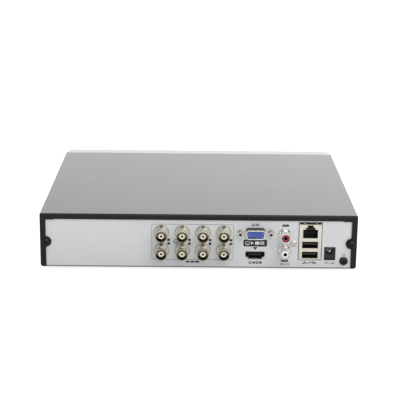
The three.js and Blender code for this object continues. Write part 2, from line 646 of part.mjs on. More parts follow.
function addDriveCasting() {
  const { x0, y0, z0 } = DRIVE_AT;
  const rimZ = DRIVE_TOP_Z - DRIVE_LID_T - GAP;
  const casting = cut(
    block([x0, DRIVE_X1], [y0, DRIVE_Y1], [z0, rimZ]),
    barZ(48.6, SPINDLE.x, SPINDLE.y, [CAVITY_Z, rimZ + 1], 32),
    block([x0 + 8, 45], [y0 + 6, DRIVE_Y1 - 6], [CAVITY_Z, rimZ + 1]),
    block([x0 + 4, x0 + 86], [y0 + 7, DRIVE_Y1 - 7], [z0 - 1, z0 + 3]),
    block([x0 - 1, x0 + 4.5], [-72, -22], [z0 - 1, z0 + 6]),
  );
  add("hdd_base", casting, FINISH.aluminium);

  const inset = GAP;
  const cornerCut = 9;
  const [lx0, lx1, ly0, ly1] = [x0 + inset, DRIVE_X1 - inset, y0 + inset, DRIVE_Y1 - inset];
  const lidShape = polygon([
    [lx0 + cornerCut, ly0], [lx1 - cornerCut, ly0], [lx1, ly0 + cornerCut], [lx1, ly1 - cornerCut],
    [lx1 - cornerCut, ly1], [lx0 + cornerCut, ly1], [lx0, ly1 - cornerCut], [lx0, ly0 + cornerCut],
  ]);
  add("hdd_lid", slab(lidShape, DRIVE_LID_T, DRIVE_TOP_Z - DRIVE_LID_T), FINISH.zincSteel);

  const board = block([x0 + 4.5, x0 + 85.5], [y0 + 7.5, DRIVE_Y1 - 7.5], [z0 + 1.1, z0 + 2.7]);
  add("hdd_circuit_board", board, FINISH.board);
}

// The discs and their hub, which turn together about the spindle.
function addDiscs() {
  const hub = 12.5;
  const [low, high] = DISC.z;
  const profile = [
    [0, CAVITY_Z + 0.5], [hub, CAVITY_Z + 0.5],
    [hub, low], [DISC.radius, low], [DISC.radius, low + DISC.thick], [hub, low + DISC.thick],
    [hub, high], [DISC.radius, high], [DISC.radius, high + DISC.thick], [hub, high + DISC.thick],
    [hub, 28.5], [0, 28.5],
  ];
  const discs = turned(profile, 32).rotateX(Math.PI / 2);
  add("hdd_discs", discs, FINISH.disc, [SPINDLE.x, SPINDLE.y, 0]);
}

// The head arms, their pivot and the coil that swings them, drawn parked beside the discs.
function addHeadArms() {
  const arm = (z) => {
    const neck = ARM.length - 8;
    const half = 1.6;
    const tip = [[neck, -half], [ARM.length, -half], [ARM.length, half], [neck, half]];
    const shape = polygon([[0, -7], ...tip, [0, 7]]);
    return slab(shape, ARM.thick, z);
  };
  const coilShape = polygon([[0, -5], [0, 5], [-12, 8.5], [-20, 8.5], [-20, -8.5], [-12, -8.5]]);
  const coil = slab(coilShape, 2.4, 20.4);
  const whole = join(barZ(7, 0, 0, [CAVITY_Z + 0.5, 29], 18), coil, ...ARM.z.map(arm));
  whole.rotateZ(THREE.MathUtils.degToRad(ARM.parkedDeg));
  add("hdd_head_arms", whole, FINISH.aluminium, [PIVOT.x, PIVOT.y, 0]);
}

// ---------------------------------------------------------------- leads inside the case

const plugAlongX = (span, y, z, w, h) => block(span, [y - w / 2, y + w / 2], [z - h / 2, z + h / 2]);

function addLeads() {
  const driveX = DRIVE_AT.x0 - GAP;
  const boardY = BOARD.y0 - GAP;
  const dataPlugs = [
    plugAlongX([driveX - 14, driveX], DATA.driveY, DATA.driveZ, 12, 5),
    faceBlock(DATA.boardX, DATA.socketZ, 12, 5, [boardY - 14, boardY]),
  ];
  const dataRoute = [
    [driveX - 12, DATA.driveY, DATA.driveZ],
    [driveX - 22, DATA.driveY, DATA.driveZ + 2],
    [DATA.boardX + 12, DATA.driveY + 3, 17],
    [DATA.boardX + 2, DATA.driveY + 16, 20],
    [DATA.boardX, -28, 18],
    [DATA.boardX, boardY - 12, DATA.socketZ],
  ];
  add("sata_data_lead", join(...dataPlugs, tube(dataRoute, 2, 26)), FINISH.redCable);

  const powerPlugs = [
    plugAlongX([driveX - 12, driveX], POWER.driveY, POWER.driveZ, 24, 5.4),
    faceBlock(POWER.boardX, POWER.socketZ, 12, 6, [boardY - 9, boardY]),
  ];
  const powerRoute = [
    [driveX - 10, POWER.driveY, POWER.driveZ],
    [driveX - 18, POWER.driveY + 1, POWER.driveZ + 4],
    [POWER.boardX, POWER.driveY + 9, 19],
    [POWER.boardX, boardY - 7, POWER.socketZ],
  ];
  add("sata_power_lead", join(...powerPlugs, tube(powerRoute, 2.4, 20)), FINISH.darkCable);

  const leadPlugs = [
    block([LEAD_X - 4.5, LEAD_X + 4.5], [boardY - 6, boardY], [ON_BOARD_Z, ON_BOARD_Z + 5]),
    block([-91, -83], [INDICATOR.y + BOARD_T + 4.3, INDICATOR.y + BOARD_T + 9], [10.5, 15.5]),
  ];
  const leadRoute = [
    [LEAD_X, boardY - 4, ON_BOARD_Z + 2.2],
    [LEAD_X, -14, 11],
    [LEAD_X + 1, -50, 6],
    [LEAD_X + 6, -80, 7],
    [-87, -93, 12],
    [-87, INDICATOR.y + BOARD_T + 7, 13],
  ];
  add("indicator_lead", join(...leadPlugs, tube(leadRoute, 1.4, 30)), FINISH.darkCable);
}

// ---------------------------------------------------------------- indicator lights

function addIndicators() {
  const { x0, x1, y, z0, z1 } = INDICATOR;
  const board = block([x0, x1], [y, y + BOARD_T], [z0, z1]);
  const header = block([-91, -83], [y + BOARD_T - 0.4, y + BOARD_T + 4], [10.5, 15.5]);
  const lamps = LED.x.map((x) => faceBlock(x, LED.z, 3, 1.8, [y - 0.8, y + 0.4]));
  add("indicator_board", join(board, header, ...lamps), FINISH.board);

  const backY = y - 0.8 - GAP;
  const bar = faceBlock(LED.x[1], LED.z, 24, 4, [backY - 2, backY]);
  const prongs = LED.x.map((x) => barY(1.3, x, LED.z, [FRONT_Y, backY - 1], 12));
  add("light_guide", join(bar, ...prongs), FINISH.clear);
}

addChassisTray();
addTopCover();
addFrontBezel();
addFeet();
addScrews();
addVideoInputs();
addDisplaySocket();
addDigitalVideoSocket();
addAudioSockets();
addNetworkStack();
addPowerSocket();
addMainBoard();
addHeatsink();
addDriveCasting();
addDiscs();
addHeadArms();
addLeads();
addIndicators();

export default recorder;
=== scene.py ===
"""Looks for an eight-channel video recorder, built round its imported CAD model.

Shapes are drawn in millimetres, in the CAD's frame, and scaled to metres when they become objects.
+Y is the rear with its sockets, -Y the front bezel, +Z up. Places come from the CAD nodes' boxes.
"""

import math
import random

import bmesh
import bpy
from mathutils import Matrix, Vector
from mathutils.geometry import delaunay_2d_cdt


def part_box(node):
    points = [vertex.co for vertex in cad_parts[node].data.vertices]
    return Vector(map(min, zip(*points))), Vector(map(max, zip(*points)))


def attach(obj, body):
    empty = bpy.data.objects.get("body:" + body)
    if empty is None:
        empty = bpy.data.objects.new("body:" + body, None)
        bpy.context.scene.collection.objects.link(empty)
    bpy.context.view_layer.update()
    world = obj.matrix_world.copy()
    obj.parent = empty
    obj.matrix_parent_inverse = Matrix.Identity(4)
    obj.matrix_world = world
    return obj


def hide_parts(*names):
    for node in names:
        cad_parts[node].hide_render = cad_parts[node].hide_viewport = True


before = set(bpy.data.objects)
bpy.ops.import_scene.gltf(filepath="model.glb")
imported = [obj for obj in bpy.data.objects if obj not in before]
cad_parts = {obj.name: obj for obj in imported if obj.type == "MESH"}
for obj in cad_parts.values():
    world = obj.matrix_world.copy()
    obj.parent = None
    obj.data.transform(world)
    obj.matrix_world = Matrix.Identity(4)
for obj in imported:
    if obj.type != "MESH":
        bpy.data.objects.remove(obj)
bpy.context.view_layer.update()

MM = 0.001
SHEET = 1.0  # steel sheet
BEND = 1.5  # outer radius of a fold in the sheet
PRINT = 0.03  # ink on the rear panel
LINE = 0.42  # printed lines
KEYWAY = 1.3  # half the width of the slot over each video socket's neck
MERGE = 1e-4  # corners closer than this are one corner
CREASE = 32  # edges that turn by more degrees than this look sharp
CLEAR = 0.3  # the CAD's gap between neighbouring pieces
PAST_SIDES = 132  # a little beyond both sides of the case
RNG = random.Random(8)

SOFT_BOX_WATTS = 29.5
WALL_LIGHT = 0.45  # radiance of the studio's walls
BAND_LEFT = 2.15  # radiance of the bright band on the far wall, at the photograph's left and right
BAND_RIGHT = 2.9

# The fitted camera: metres from the case's middle, from the cover's rear and from the floor, radians, and the
# focal length in widths of the picture.
CAMERA_X, CAMERA_BACK, CAMERA_Z = 0.003762, 0.93674, 0.33096
CAMERA_PITCH, CAMERA_YAW, CAMERA_ROLL = 0.28052, -0.0048, 0.01018
FOCAL = 1203.16 / 400
SENSOR = 36.0
HALF_FLOOR = 6.0  # half the studio floor's width, in metres


# ---------------------------------------------------------------- the CAD's places


class Place:
    """A CAD node's box in millimetres: low and high corners, centre and size."""

    def __init__(self, node):
        low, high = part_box(node)
        self.low = low / MM
        self.high = high / MM
        self.mid = (self.low + self.high) / 2
        self.size = self.high - self.low

    def on_panel(self):
        """The node's centre, brought to the outer face of the rear panel."""
        return self.mid.x, PANEL, self.mid.z


TRAY = Place("chassis_tray")
COVER = Place("top_cover")
BEZEL = Place("front_bezel")
PANEL = TRAY.high.y  # outer face of the rear panel
FLOOR = TRAY.low.z + SHEET


# ---------------------------------------------------------------- outlines, as (x, z) or (x, y) points


def circle(x, z, radius, count=48):
    step = math.tau / count
    angles = [i * step for i in range(count)]
    return [(x + radius * math.cos(a), z + radius * math.sin(a)) for a in angles]


def rounded(points, radius, steps=5):
    """The closed outline with each corner turned into an arc. radius is one number or one for each corner."""
    radii = radius if isinstance(radius, (list, tuple)) else [radius] * len(points)
    out = []
    for i, point in enumerate(points):
        corner = Vector(point)
        to_last = (Vector(points[i - 1]) - corner).normalized()
        to_next = (Vector(points[(i + 1) % len(points)]) - corner).normalized()
        half = to_last.angle(to_next) / 2
        if radii[i] <= 0 or abs(half - math.pi / 2) < 1e-4:
            out.append(tuple(corner))
            continue
        reach = radii[i] / math.tan(half)
        centre = corner + (to_last + to_next).normalized() * (radii[i] / math.sin(half))
        first = corner + to_last * reach - centre
        turn = first.angle_signed(corner + to_next * reach - centre)
        for k in range(steps + 1):
            out.append(tuple(centre + Matrix.Rotation(-turn * k / steps, 2) @ first))
    return out


def rectangle(x, z, width, height, radius=0.0, steps=5):
    w, h = width / 2, height / 2
    corners = [(x - w, z - h), (x + w, z - h), (x + w, z + h), (x - w, z + h)]
    return rounded(corners, radius, steps) if radius else corners


def shifted(outline, x, z):
    return [(px + x, pz + z) for px, pz in outline]


# ---------------------------------------------------------------- closed shapes, as bmeshes


def clean(bm):
    bmesh.ops.remove_doubles(bm, verts=bm.verts, dist=MERGE)
    bmesh.ops.recalc_face_normals(bm, faces=bm.faces)
    return bm


def slab(outline, low, high, holes=(), axis="Y"):
    """An outline with holes, drawn out from low to high. It is (x, z) along Y and (x, y) along Z."""
    points, edges = [], []
    for loop in [outline, *holes]:
        first = len(points)
        points += [Vector(p) for p in loop]
        edges += [(first + i, first + (i + 1) % len(loop)) for i in range(len(loop))]
    kind = 4 if holes else 3
    flat, _, faces, *_ = delaunay_2d_cdt(points, edges, [], kind, 1e-6)
    if holes:
        middles = [sum((flat[i] for i in f), Vector((0, 0))) / len(f) for f in faces]
        faces = [f for f, middle in zip(faces, middles) if not in_a_hole(middle, holes)]
    lift = (lambda p, t: (p[0], t, p[1])) if axis == "Y" else (lambda p, t: (p[0], p[1], t))
    bm = bmesh.new()
    near = [bm.verts.new(lift(p, low)) for p in flat]
    lower = [bm.faces.new([near[i] for i in f]) for f in faces]
    grown = bmesh.ops.extrude_face_region(bm, geom=lower, use_keep_orig=True)["geom"]
    step = Vector(lift((0, 0), high - low))
    bmesh.ops.translate(bm, verts=[g for g in grown if isinstance(g, bmesh.types.BMVert)], vec=step)
    loose = [v for v in bm.verts if not v.link_faces]
    bmesh.ops.delete(bm, geom=loose, context="VERTS")
    return clean(bm)


def in_a_hole(point, holes):
    """Whether the point is inside one of the outlines, by counting the edges to its right."""
    for loop in holes:
        inside = False
        for (x0, z0), (x1, z1) in zip(loop, loop[1:] + loop[:1]):
            if (z0 > point[1]) != (z1 > point[1]) and point[0] < x0 + (point[1] - z0) * (x1 - x0) / (z1 - z0):
                inside = not inside
        if inside:
            return True
    return False


def block(low, high, radius=0.0, steps=3, which=None):
    """A box between two corners. Edges that which() accepts, or all, are rounded."""
    bm = bmesh.new()
    bmesh.ops.create_cube(bm, size=1.0)
    low, high = Vector(low), Vector(high)
    bmesh.ops.scale(bm, vec=high - low, verts=bm.verts)
    bmesh.ops.translate(bm, vec=(low + high) / 2, verts=bm.verts)
    if radius:
        edges = [e for e in bm.edges if which is None or which((e.verts[0].co + e.verts[1].co) / 2)]
        soften(bm, edges, radius, steps)
    return clean(bm)


def spun(bm, angle, axis):
    """The shape, turned about an axis through the origin."""
    bmesh.ops.rotate(bm, matrix=Matrix.Rotation(angle, 3, axis), verts=bm.verts)
    return bm


def soften(bm, edges, radius, steps=2):
    bmesh.ops.bevel(bm, geom=edges, offset=radius, segments=steps, profile=0.5, affect="EDGES",
                    clamp_overlap=True)


def turned(profile, x=0.0, z=0.0, y=0.0, count=48, axis="Y"):
    """A closed (radius, along) profile turned about an axis through (x, z) for Y or (x, y) for Z."""
    bm = bmesh.new()
    rings = []
    for radius, along in profile:
        if radius < 1e-6:
            rings.append([bm.verts.new((0, along, 0))])
            continue
        rings.append([bm.verts.new((px, along, pz)) for px, pz in circle(0, 0, radius, count)])
    for a, b in zip(rings, rings[1:] + rings[:1]):
        if len(a) == 1 and len(b) == 1:
            continue
        for i in range(count):
            j = (i + 1) % count
            corners = [a[i % len(a)], a[j % len(a)], b[j % len(b)], b[i % len(b)]]
            bm.faces.new(list(dict.fromkeys(corners)))
    if axis == "Z":
        spun(bm, math.pi / 2, "X")
    bmesh.ops.translate(bm, vec=(x, y, z), verts=bm.verts)
    return clean(bm)


def filleted(profile, radius, steps=3):
    """A turned profile with its corners rounded, except those on the axis."""
    radii = [0.0 if p[0] < 1e-6 else radius for p in profile]
    return rounded(profile, radii, steps)


def pipe(route, radius, count=16, rings=48):
    """A round tube along a smooth route through the points, closed at both ends."""
    curve = bpy.data.curves.new("route", "CURVE")
    curve.dimensions = "3D"
    spline = curve.splines.new("BEZIER")
    spline.bezier_points.add(len(route) - 1)
    for knot, point in zip(spline.bezier_points, route):
        knot.co = point
        knot.handle_left_type = knot.handle_right_type = "AUTO"
    spline.resolution_u = max(2, rings // (len(route) - 1))
    curve.bevel_depth = radius
    curve.bevel_resolution = max(1, count // 4 - 1)
    curve.use_fill_caps = True
    bm = bmesh.new()
    holder = bpy.data.objects.new("route", curve)
    bm.from_mesh(holder.to_mesh())
    holder.to_mesh_clear()
    bpy.data.objects.remove(holder)
    bpy.data.curves.remove(curve)
    return clean(bm)


def together(*shapes):
    """Several closed shapes as one bmesh, each still closed by itself."""
    whole = bmesh.new()
    for bm in shapes:
        mesh = bpy.data.meshes.new("part")
        bm.to_mesh(mesh)
        bm.free()
        whole.from_mesh(mesh)
        bpy.data.meshes.remove(mesh)
    return whole


def combined(base, tool, operation):
    """An exact boolean of two bmeshes. Both are used up."""
    holders = []
    for name, bm in (("base", base), ("tool", tool)):
        mesh = bpy.data.meshes.new(name)
        bm.to_mesh(mesh)
        bm.free()
        holder = bpy.data.objects.new(name, mesh)
        bpy.context.scene.collection.objects.link(holder)
        holders.append(holder)
    modifier = holders[0].modifiers.new("cut", "BOOLEAN")
    modifier.operation = operation
    modifier.solver = "EXACT"
    modifier.object = holders[1]
    bpy.context.view_layer.update()
    evaluated = holders[0].evaluated_get(bpy.context.evaluated_depsgraph_get())
    bm = bmesh.new()
    bm.from_mesh(evaluated.to_mesh())
    evaluated.to_mesh_clear()
    for holder in holders:
        mesh = holder.data
        bpy.data.objects.remove(holder)
        bpy.data.meshes.remove(mesh)
    bmesh.ops.dissolve_degenerate(bm, dist=MERGE, edges=bm.edges)
    bmesh.ops.remove_doubles(bm, verts=bm.verts, dist=MERGE)
    return bm


def cut(base, *tools):
    return combined(base, together(*tools), "DIFFERENCE")


def joined(base, *more):
    for bm in more:
        base = combined(base, bm, "UNION")
    return base


def edge_softened(bm, radius=0.12, least=50):
    """Takes the sharpness off every edge that turns by more than least degrees."""
    limit = math.radians(least)
    edges = [e for e in bm.edges if e.is_manifold and e.calc_face_angle(0) > limit]
    soften(bm, edges, radius, 2)
    return bm


# ---------------------------------------------------------------- objects


def shade(mesh):
    """Smooth faces, with the edges that turn by more than CREASE degrees kept sharp."""
    bm = bmesh.new()
    bm.from_mesh(mesh)
    limit = math.radians(CREASE)
    for face in bm.faces:
        face.smooth = True
    for edge in bm.edges:
        edge.smooth = edge.is_manifold and edge.calc_face_angle(0) < limit
    bm.to_mesh(mesh)
    bm.free()


def piece(name, bm, material, body="case", stands_for=(), at=(0, 0, 0)):
    """A bmesh in millimetres as an object in metres, of one material, that rides on a body."""
    mesh = bpy.data.meshes.new(name)
    bmesh.ops.scale(bm, vec=(MM, MM, MM), verts=bm.verts)
    bm.to_mesh(mesh)
    bm.free()
    shade(mesh)
    mesh.materials.append(MATERIAL[material])
    return placed(name, mesh, body, stands_for, at)


def placed(name, mesh, body="case", stands_for=(), at=(0, 0, 0)):
    """An object with that mesh, moved by at millimetres."""
    obj = bpy.data.objects.new(name, mesh)
    bpy.context.scene.collection.objects.link(obj)
    obj.location = Vector(at) * MM
    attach(obj, body)
    smoother = obj.modifiers.new("weighted", "WEIGHTED_NORMAL")
    smoother.keep_sharp = True
    if stands_for:
        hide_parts(*([stands_for] if isinstance(stands_for, str) else stands_for))
    return obj


# ---------------------------------------------------------------- materials


class Finish:
    """A principled material with helpers for procedural detail in object space, in metres."""

    def __init__(self, name, colour, roughness, metallic=0.0, specular=0.5):
        self.material = bpy.data.materials.new(name)
        self.material.use_nodes = True
        self.tree = self.material.node_tree
        self.shader = self.tree.nodes["Principled BSDF"]
        self.shader.inputs["Base Color"].default_value = (*colour, 1.0)
        self.shader.inputs["Roughness"].default_value = roughness
        self.shader.inputs["Metallic"].default_value = metallic
        self.shader.inputs["Specular IOR Level"].default_value = specular
        self.colour = colour
        self.roughness = roughness
        self.coords = self.tree.nodes.new("ShaderNodeTexCoord").outputs["Object"]

    def link(self, output, node, socket):
        self.tree.links.new(output, node.inputs[socket])

    def stretched(self, scale):
        node = self.tree.nodes.new("ShaderNodeMapping")
        node.inputs["Scale"].default_value = scale
        self.link(self.coords, node, "Vector")
        return node.outputs["Vector"]

    def noise(self, size_mm, detail=3.0, stretch=None):
        node = self.tree.nodes.new("ShaderNodeTexNoise")
        node.inputs["Scale"].default_value = 1.0 / (size_mm * MM)
        node.inputs["Detail"].default_value = detail
        self.link(self.stretched(stretch) if stretch else self.coords, node, "Vector")
        return node.outputs["Fac"]

    def spread(self, factor, low, high):
        """A factor that noise gives, spread from low to high."""
        node = self.tree.nodes.new("ShaderNodeMapRange")
        node.inputs["From Min"].default_value = 0.25
        node.inputs["From Max"].default_value = 0.75
        node.inputs["To Min"].default_value = low
        node.inputs["To Max"].default_value = high
        self.link(factor, node, "Value")
        return node.outputs["Result"]

    def mottle(self, factor, amount, tint=(1.0, 1.0, 1.0)):
        """The base colour made darker and lighter by amount where factor says, leaning to a tint."""
        dark = [c * (1 - amount) for c in self.colour]
        light = [min(1.0, c * (1 + amount) * t) for c, t in zip(self.colour, tint)]
        node = self.tree.nodes.new("ShaderNodeMix")
        node.data_type = "RGBA"
        node.inputs["A"].default_value = (*dark, 1.0)
        node.inputs["B"].default_value = (*light, 1.0)
        self.link(self.spread(factor, 0.0, 1.0), node, "Factor")
        self.link(node.outputs["Result"], self.shader, "Base Color")
        return node.outputs["Result"]

    def blend(self, factor, under, over):
        """Colour under, with colour over where factor is 1."""
        node = self.tree.nodes.new("ShaderNodeMix")
        node.data_type = "RGBA"
        self.link(factor, node, "Factor")
        for socket, value in (("A", under), ("B", over)):
            if isinstance(value, tuple):
                node.inputs[socket].default_value = (*value, 1.0)
            else:
                self.link(value, node, socket)
        self.link(node.outputs["Result"], self.shader, "Base Color")
        return node.outputs["Result"]

    def vary_roughness(self, factor, amount):
        low = max(0.02, self.roughness - amount)
        self.link(self.spread(factor, low, self.roughness + amount), self.shader, "Roughness")

    def bump(self, height, depth_mm, strength=1.0):
        node = self.tree.nodes.new("ShaderNodeBump")
        node.inputs["Strength"].default_value = strength
        node.inputs["Distance"].default_value = depth_mm * MM
        self.link(height, node, "Height")
        self.link(node.outputs["Normal"], self.shader, "Normal")
        return self.material


def black_paint():
    """Satin black powder coat, with its fine orange peel and faint handling marks."""
    finish = Finish("black_paint", (0.007, 0.0072, 0.0075), 0.34, specular=0.24)
    finish.mottle(finish.noise(35, 4), 0.12)
    finish.vary_roughness(finish.noise(40, 2), 0.006)
    return finish.bump(finish.noise(0.9, 2), 0.006, 0.35)


def silver_panel():
    """Zinc-grey painted sheet, faintly metallic, with a grain too fine to see from afar."""
    finish = Finish("silver_panel", (0.60, 0.612, 0.618), 0.42, 0.35)
    finish.mottle(finish.noise(28, 4), 0.025, (1.0, 1.0, 1.01))
    finish.vary_roughness(finish.noise(6, 4), 0.05)
    return finish.bump(finish.noise(0.45, 2), 0.008, 0.4)


def zinc_sheet():
    """Galvanised steel with its spangle."""
    finish = Finish("zinc_sheet", (0.40, 0.41, 0.42), 0.4, 0.8)
    finish.mottle(finish.noise(9, 2), 0.14, (0.99, 1.0, 1.02))
    finish.vary_roughness(finish.noise(5, 3), 0.1)
    return finish.bump(finish.noise(1.2, 3), 0.01, 0.4)


def plated(name, colour, roughness, grime=0.08, lines=0.25):
    """Plated turned metal: fine turning lines, and a little haze."""
    finish = Finish(name, colour, roughness, 1.0)
    finish.mottle(finish.noise(3.5, 3), grime, (1.0, 0.995, 0.98))
    finish.vary_roughness(finish.noise(1.6, 4), roughness * 0.2)
    return finish.bump(finish.noise(0.25, 2, stretch=(0.15, 1.0, 0.15)), 0.002, lines)


def moulded(name, colour, roughness, grain_mm=0.25, depth=0.012, variation=0.05, specular=0.5):
    """A plastic moulding with a spark-eroded grain."""
    finish = Finish(name, colour, roughness, specular=specular)
    finish.mottle(finish.noise(12, 3), variation)
    finish.vary_roughness(finish.noise(2.5, 3), 0.05)
    return finish.bump(finish.noise(grain_mm, 2), depth, 0.5)


def rubber():
    finish = Finish("foot_rubber", (0.018, 0.018, 0.018), 0.78, specular=0.3)
    finish.mottle(finish.noise(4, 5), 0.25)
    finish.vary_roughness(finish.noise(2, 3), 0.08)
    return finish.bump(finish.noise(0.35, 4), 0.05, 0.7)


def circuit_board():
    """Green solder mask over copper tracks, which show as paler lines."""
    finish = Finish("circuit_board", (0.012, 0.085, 0.03), 0.34)
    tracks = finish.tree.nodes.new("ShaderNodeTexBrick")
    tracks.inputs["Scale"].default_value = 1.0
    tracks.inputs["Brick Width"].default_value = 7.0 * MM
    tracks.inputs["Row Height"].default_value = 1.3 * MM
    tracks.inputs["Mortar Size"].default_value = 0.16 * MM
    tracks.inputs["Mortar Smooth"].default_value = 0.1
    tracks.offset = 0.37
    finish.link(finish.coords, tracks, "Vector")
    base = finish.mottle(finish.noise(8, 3), 0.2)
    finish.blend(tracks.outputs["Fac"], base, (0.03, 0.17, 0.06))
    finish.vary_roughness(finish.noise(3, 3), 0.05)
    return finish.bump(tracks.outputs["Fac"], 0.03, 0.6)


def brushed(name, colour, roughness=0.3):
    finish = Finish(name, colour, roughness, 1.0)
    grain = finish.noise(0.5, 3, stretch=(0.02, 1.0, 1.0))
    finish.mottle(finish.noise(14, 3), 0.08)
    finish.vary_roughness(grain, 0.08)
    return finish.bump(grain, 0.01, 0.5)


def ink(name, colour):
    finish = Finish(name, colour, 0.5, specular=0.4)
    finish.mottle(finish.noise(1.2, 3), 0.12)
    return finish.bump(finish.noise(0.3, 2), 0.004, 0.4)


def clear_lens():
    finish = Finish("lens", (0.72, 0.80, 0.78), 0.12)
    finish.shader.inputs["Transmission Weight"].default_value = 0.35
    finish.mottle(finish.noise(2, 2), 0.04)
    return finish.bump(finish.noise(0.5, 2), 0.01, 0.3)


MATERIAL = {
    "black_paint": black_paint(),
    "silver_panel": silver_panel(),
    "zinc_sheet": zinc_sheet(),
    "nickel": plated("nickel", (0.68, 0.66, 0.585), 0.36, 0.04, 0.02),
    # Darkened nickel: painted shade for bores, cross recesses and contacts deep in the sockets' mouths.
    "nickel_painted_shade": plated("nickel_painted_shade", (0.31, 0.285, 0.2), 0.3, 0.1, 0.05),
    # Near-black metal: painted shadow in grooves and notches, and over the display shell's top.
    "metal_painted_shadow": plated("metal_painted_shadow", (0.09, 0.085, 0.06), 0.35, 0.1, 0.05),
    "chrome": plated("chrome", (0.82, 0.82, 0.80), 0.12, 0.04, 0.02),
    # Darkened zinc: painted shade on the underside of the tray's bottom fold.
    "zinc_painted_shade": plated("zinc_painted_shade", (0.27, 0.275, 0.28), 0.5, 0.1, 0.1),
    "tin": plated("tin", (0.80, 0.785, 0.74), 0.22),
    "cream_tin": plated("cream_tin", (0.78, 0.745, 0.66), 0.42, 0.05),
    "screw_steel": plated("screw_steel", (0.66, 0.65, 0.58), 0.3, 0.15),
    "dull_steel": plated("dull_steel", (0.50, 0.50, 0.49), 0.45, 0.15),
    "gold": plated("gold", (0.75, 0.50, 0.16), 0.22),
    "dull_gold": plated("dull_gold", (0.22, 0.15, 0.06), 0.35, 0.2),
    "black_screw": plated("black_screw", (0.035, 0.036, 0.038), 0.38, 0.2),
    "ivory": moulded("ivory", (0.82, 0.77, 0.62), 0.42),
    "white": moulded("white", (0.82, 0.81, 0.79), 0.4),
    "red": moulded("red", (0.30, 0.03, 0.05), 0.38),
    "blue": moulded("blue", (0.085, 0.125, 0.46), 0.4),
    # Darkened blue: painted shade inside the display socket's pin holes.
    "blue_painted_shade": moulded("blue_painted_shade", (0.02, 0.03, 0.22), 0.55),
    "black": moulded("black", (0.011, 0.011, 0.0115), 0.42, specular=0.4),
    "chip": moulded("chip", (0.022, 0.022, 0.024), 0.5, 0.18, 0.02),
    "bezel": moulded("bezel", (0.42, 0.42, 0.415), 0.5, 0.3, 0.006, 0.02, 0.25),
    "rubber": rubber(),
    "board": circuit_board(),
    "aluminium": brushed("aluminium", (0.58, 0.59, 0.60)),
    "mirror": brushed("disc_mirror", (0.78, 0.79, 0.81), 0.08),
    "black_ink": ink("black_ink", (0.018, 0.018, 0.019)),
    "line_ink": ink("line_ink", (0.20, 0.205, 0.22)),
    "grey_ink": ink("grey_ink", (0.30, 0.31, 0.33)),
    "white_ink": ink("white_ink", (0.78, 0.78, 0.78)),
    "sleeve": moulded("capacitor_sleeve", (0.012, 0.016, 0.05), 0.3),
    "red_lead": moulded("red_sheath", (0.36, 0.018, 0.015), 0.4),
    "dark_lead": moulded("dark_sheath", (0.02, 0.02, 0.022), 0.5),
    "lens": clear_lens(),
}


# ---------------------------------------------------------------- case


def cover_opening():
    """The outline of the rear flange's opening, with a half-round lobe for a screw at each side."""
    side = 125.1
    corner_top = COVER.high.z - 5.1
    top = COVER.high.z - 4.6
    step = 118.6
    lobe = 4.4
    screw = Place("cover_screw_left")
    right = [(side, COVER.low.z - 2), (side, screw.mid.z - lobe)]
    for k in range(1, 16):
        angle = math.pi * k / 16
        right.append((screw.mid.x - lobe * math.sin(angle), screw.mid.z - lobe * math.cos(angle)))
    right += [(side, screw.mid.z + lobe), (side, corner_top), (step, corner_top), (step - 0.5, top)]
    return right + [(-x, z) for x, z in reversed(right)]


def cover_vents():
    """Two rows of upright slots in each side, rounded at their ends."""
    slots = []
    swap_x_y = Matrix(((0, 1, 0, 0), (1, 0, 0, 0), (0, 0, 1, 0), (0, 0, 0, 1)))
    for row in (17, 32):
        for i in range(13):
            y = -78 + i * 8 + 1.2
            bm = slab(rectangle(y, row, 2.4, 10, 1.15, 4), -PAST_SIDES, PAST_SIDES)
            bmesh.ops.transform(bm, matrix=swap_x_y, verts=bm.verts)
            slots.append(clean(bm))
    return slots


def build_cover():
    """The folded cover, its folds rounded, with the flange round the rear panel."""
    low, high = COVER.low, COVER.high

    def folds(corner):
        def accept(p):
            on_top, at_rear = p.z > corner.z - 0.01, p.y > corner.y - 0.01
            at_side = abs(p.x) > corner.x - 0.01
            return (on_top and (at_side or at_rear)) or (at_rear and at_side)
        return accept

    outer = block(low, high, BEND, 6, folds(high))
    in_low = Vector((low.x + SHEET, low.y - 2, low.z - 2))
    in_high = high - Vector((SHEET, SHEET, SHEET))
    shell = cut(outer, block(in_low, in_high, BEND - SHEET, 4, folds(in_high)))
    shell = cut(shell, slab(cover_opening(), high.y - SHEET - 1, high.y + 1))
    screws = [Place("cover_screw_left").mid, Place("cover_screw_right").mid]
    tools = [slab(circle(s.x, s.z, 1.8, 32), high.y - 3, high.y + 1) for s in screws]
    for side in (-1, 1):
        reach = 2.2
        x, z = side * high.x, low.z
        corner = [(x - side * reach, z - 1), (x + side, z - 1), (x + side, z + reach)]
        arc = [(side * (high.x - reach + reach * math.cos(a)), z + reach - reach * math.sin(a))
               for a in (math.pi / 2 * k / 6 for k in range(7))]
        tools.append(slab(corner + arc, high.y - 2.5, high.y + 1))
    shell = cut(shell, *tools, *cover_vents())
    piece("cover_shell", edge_softened(shell, 0.14), "black_paint", "cover", "top_cover")


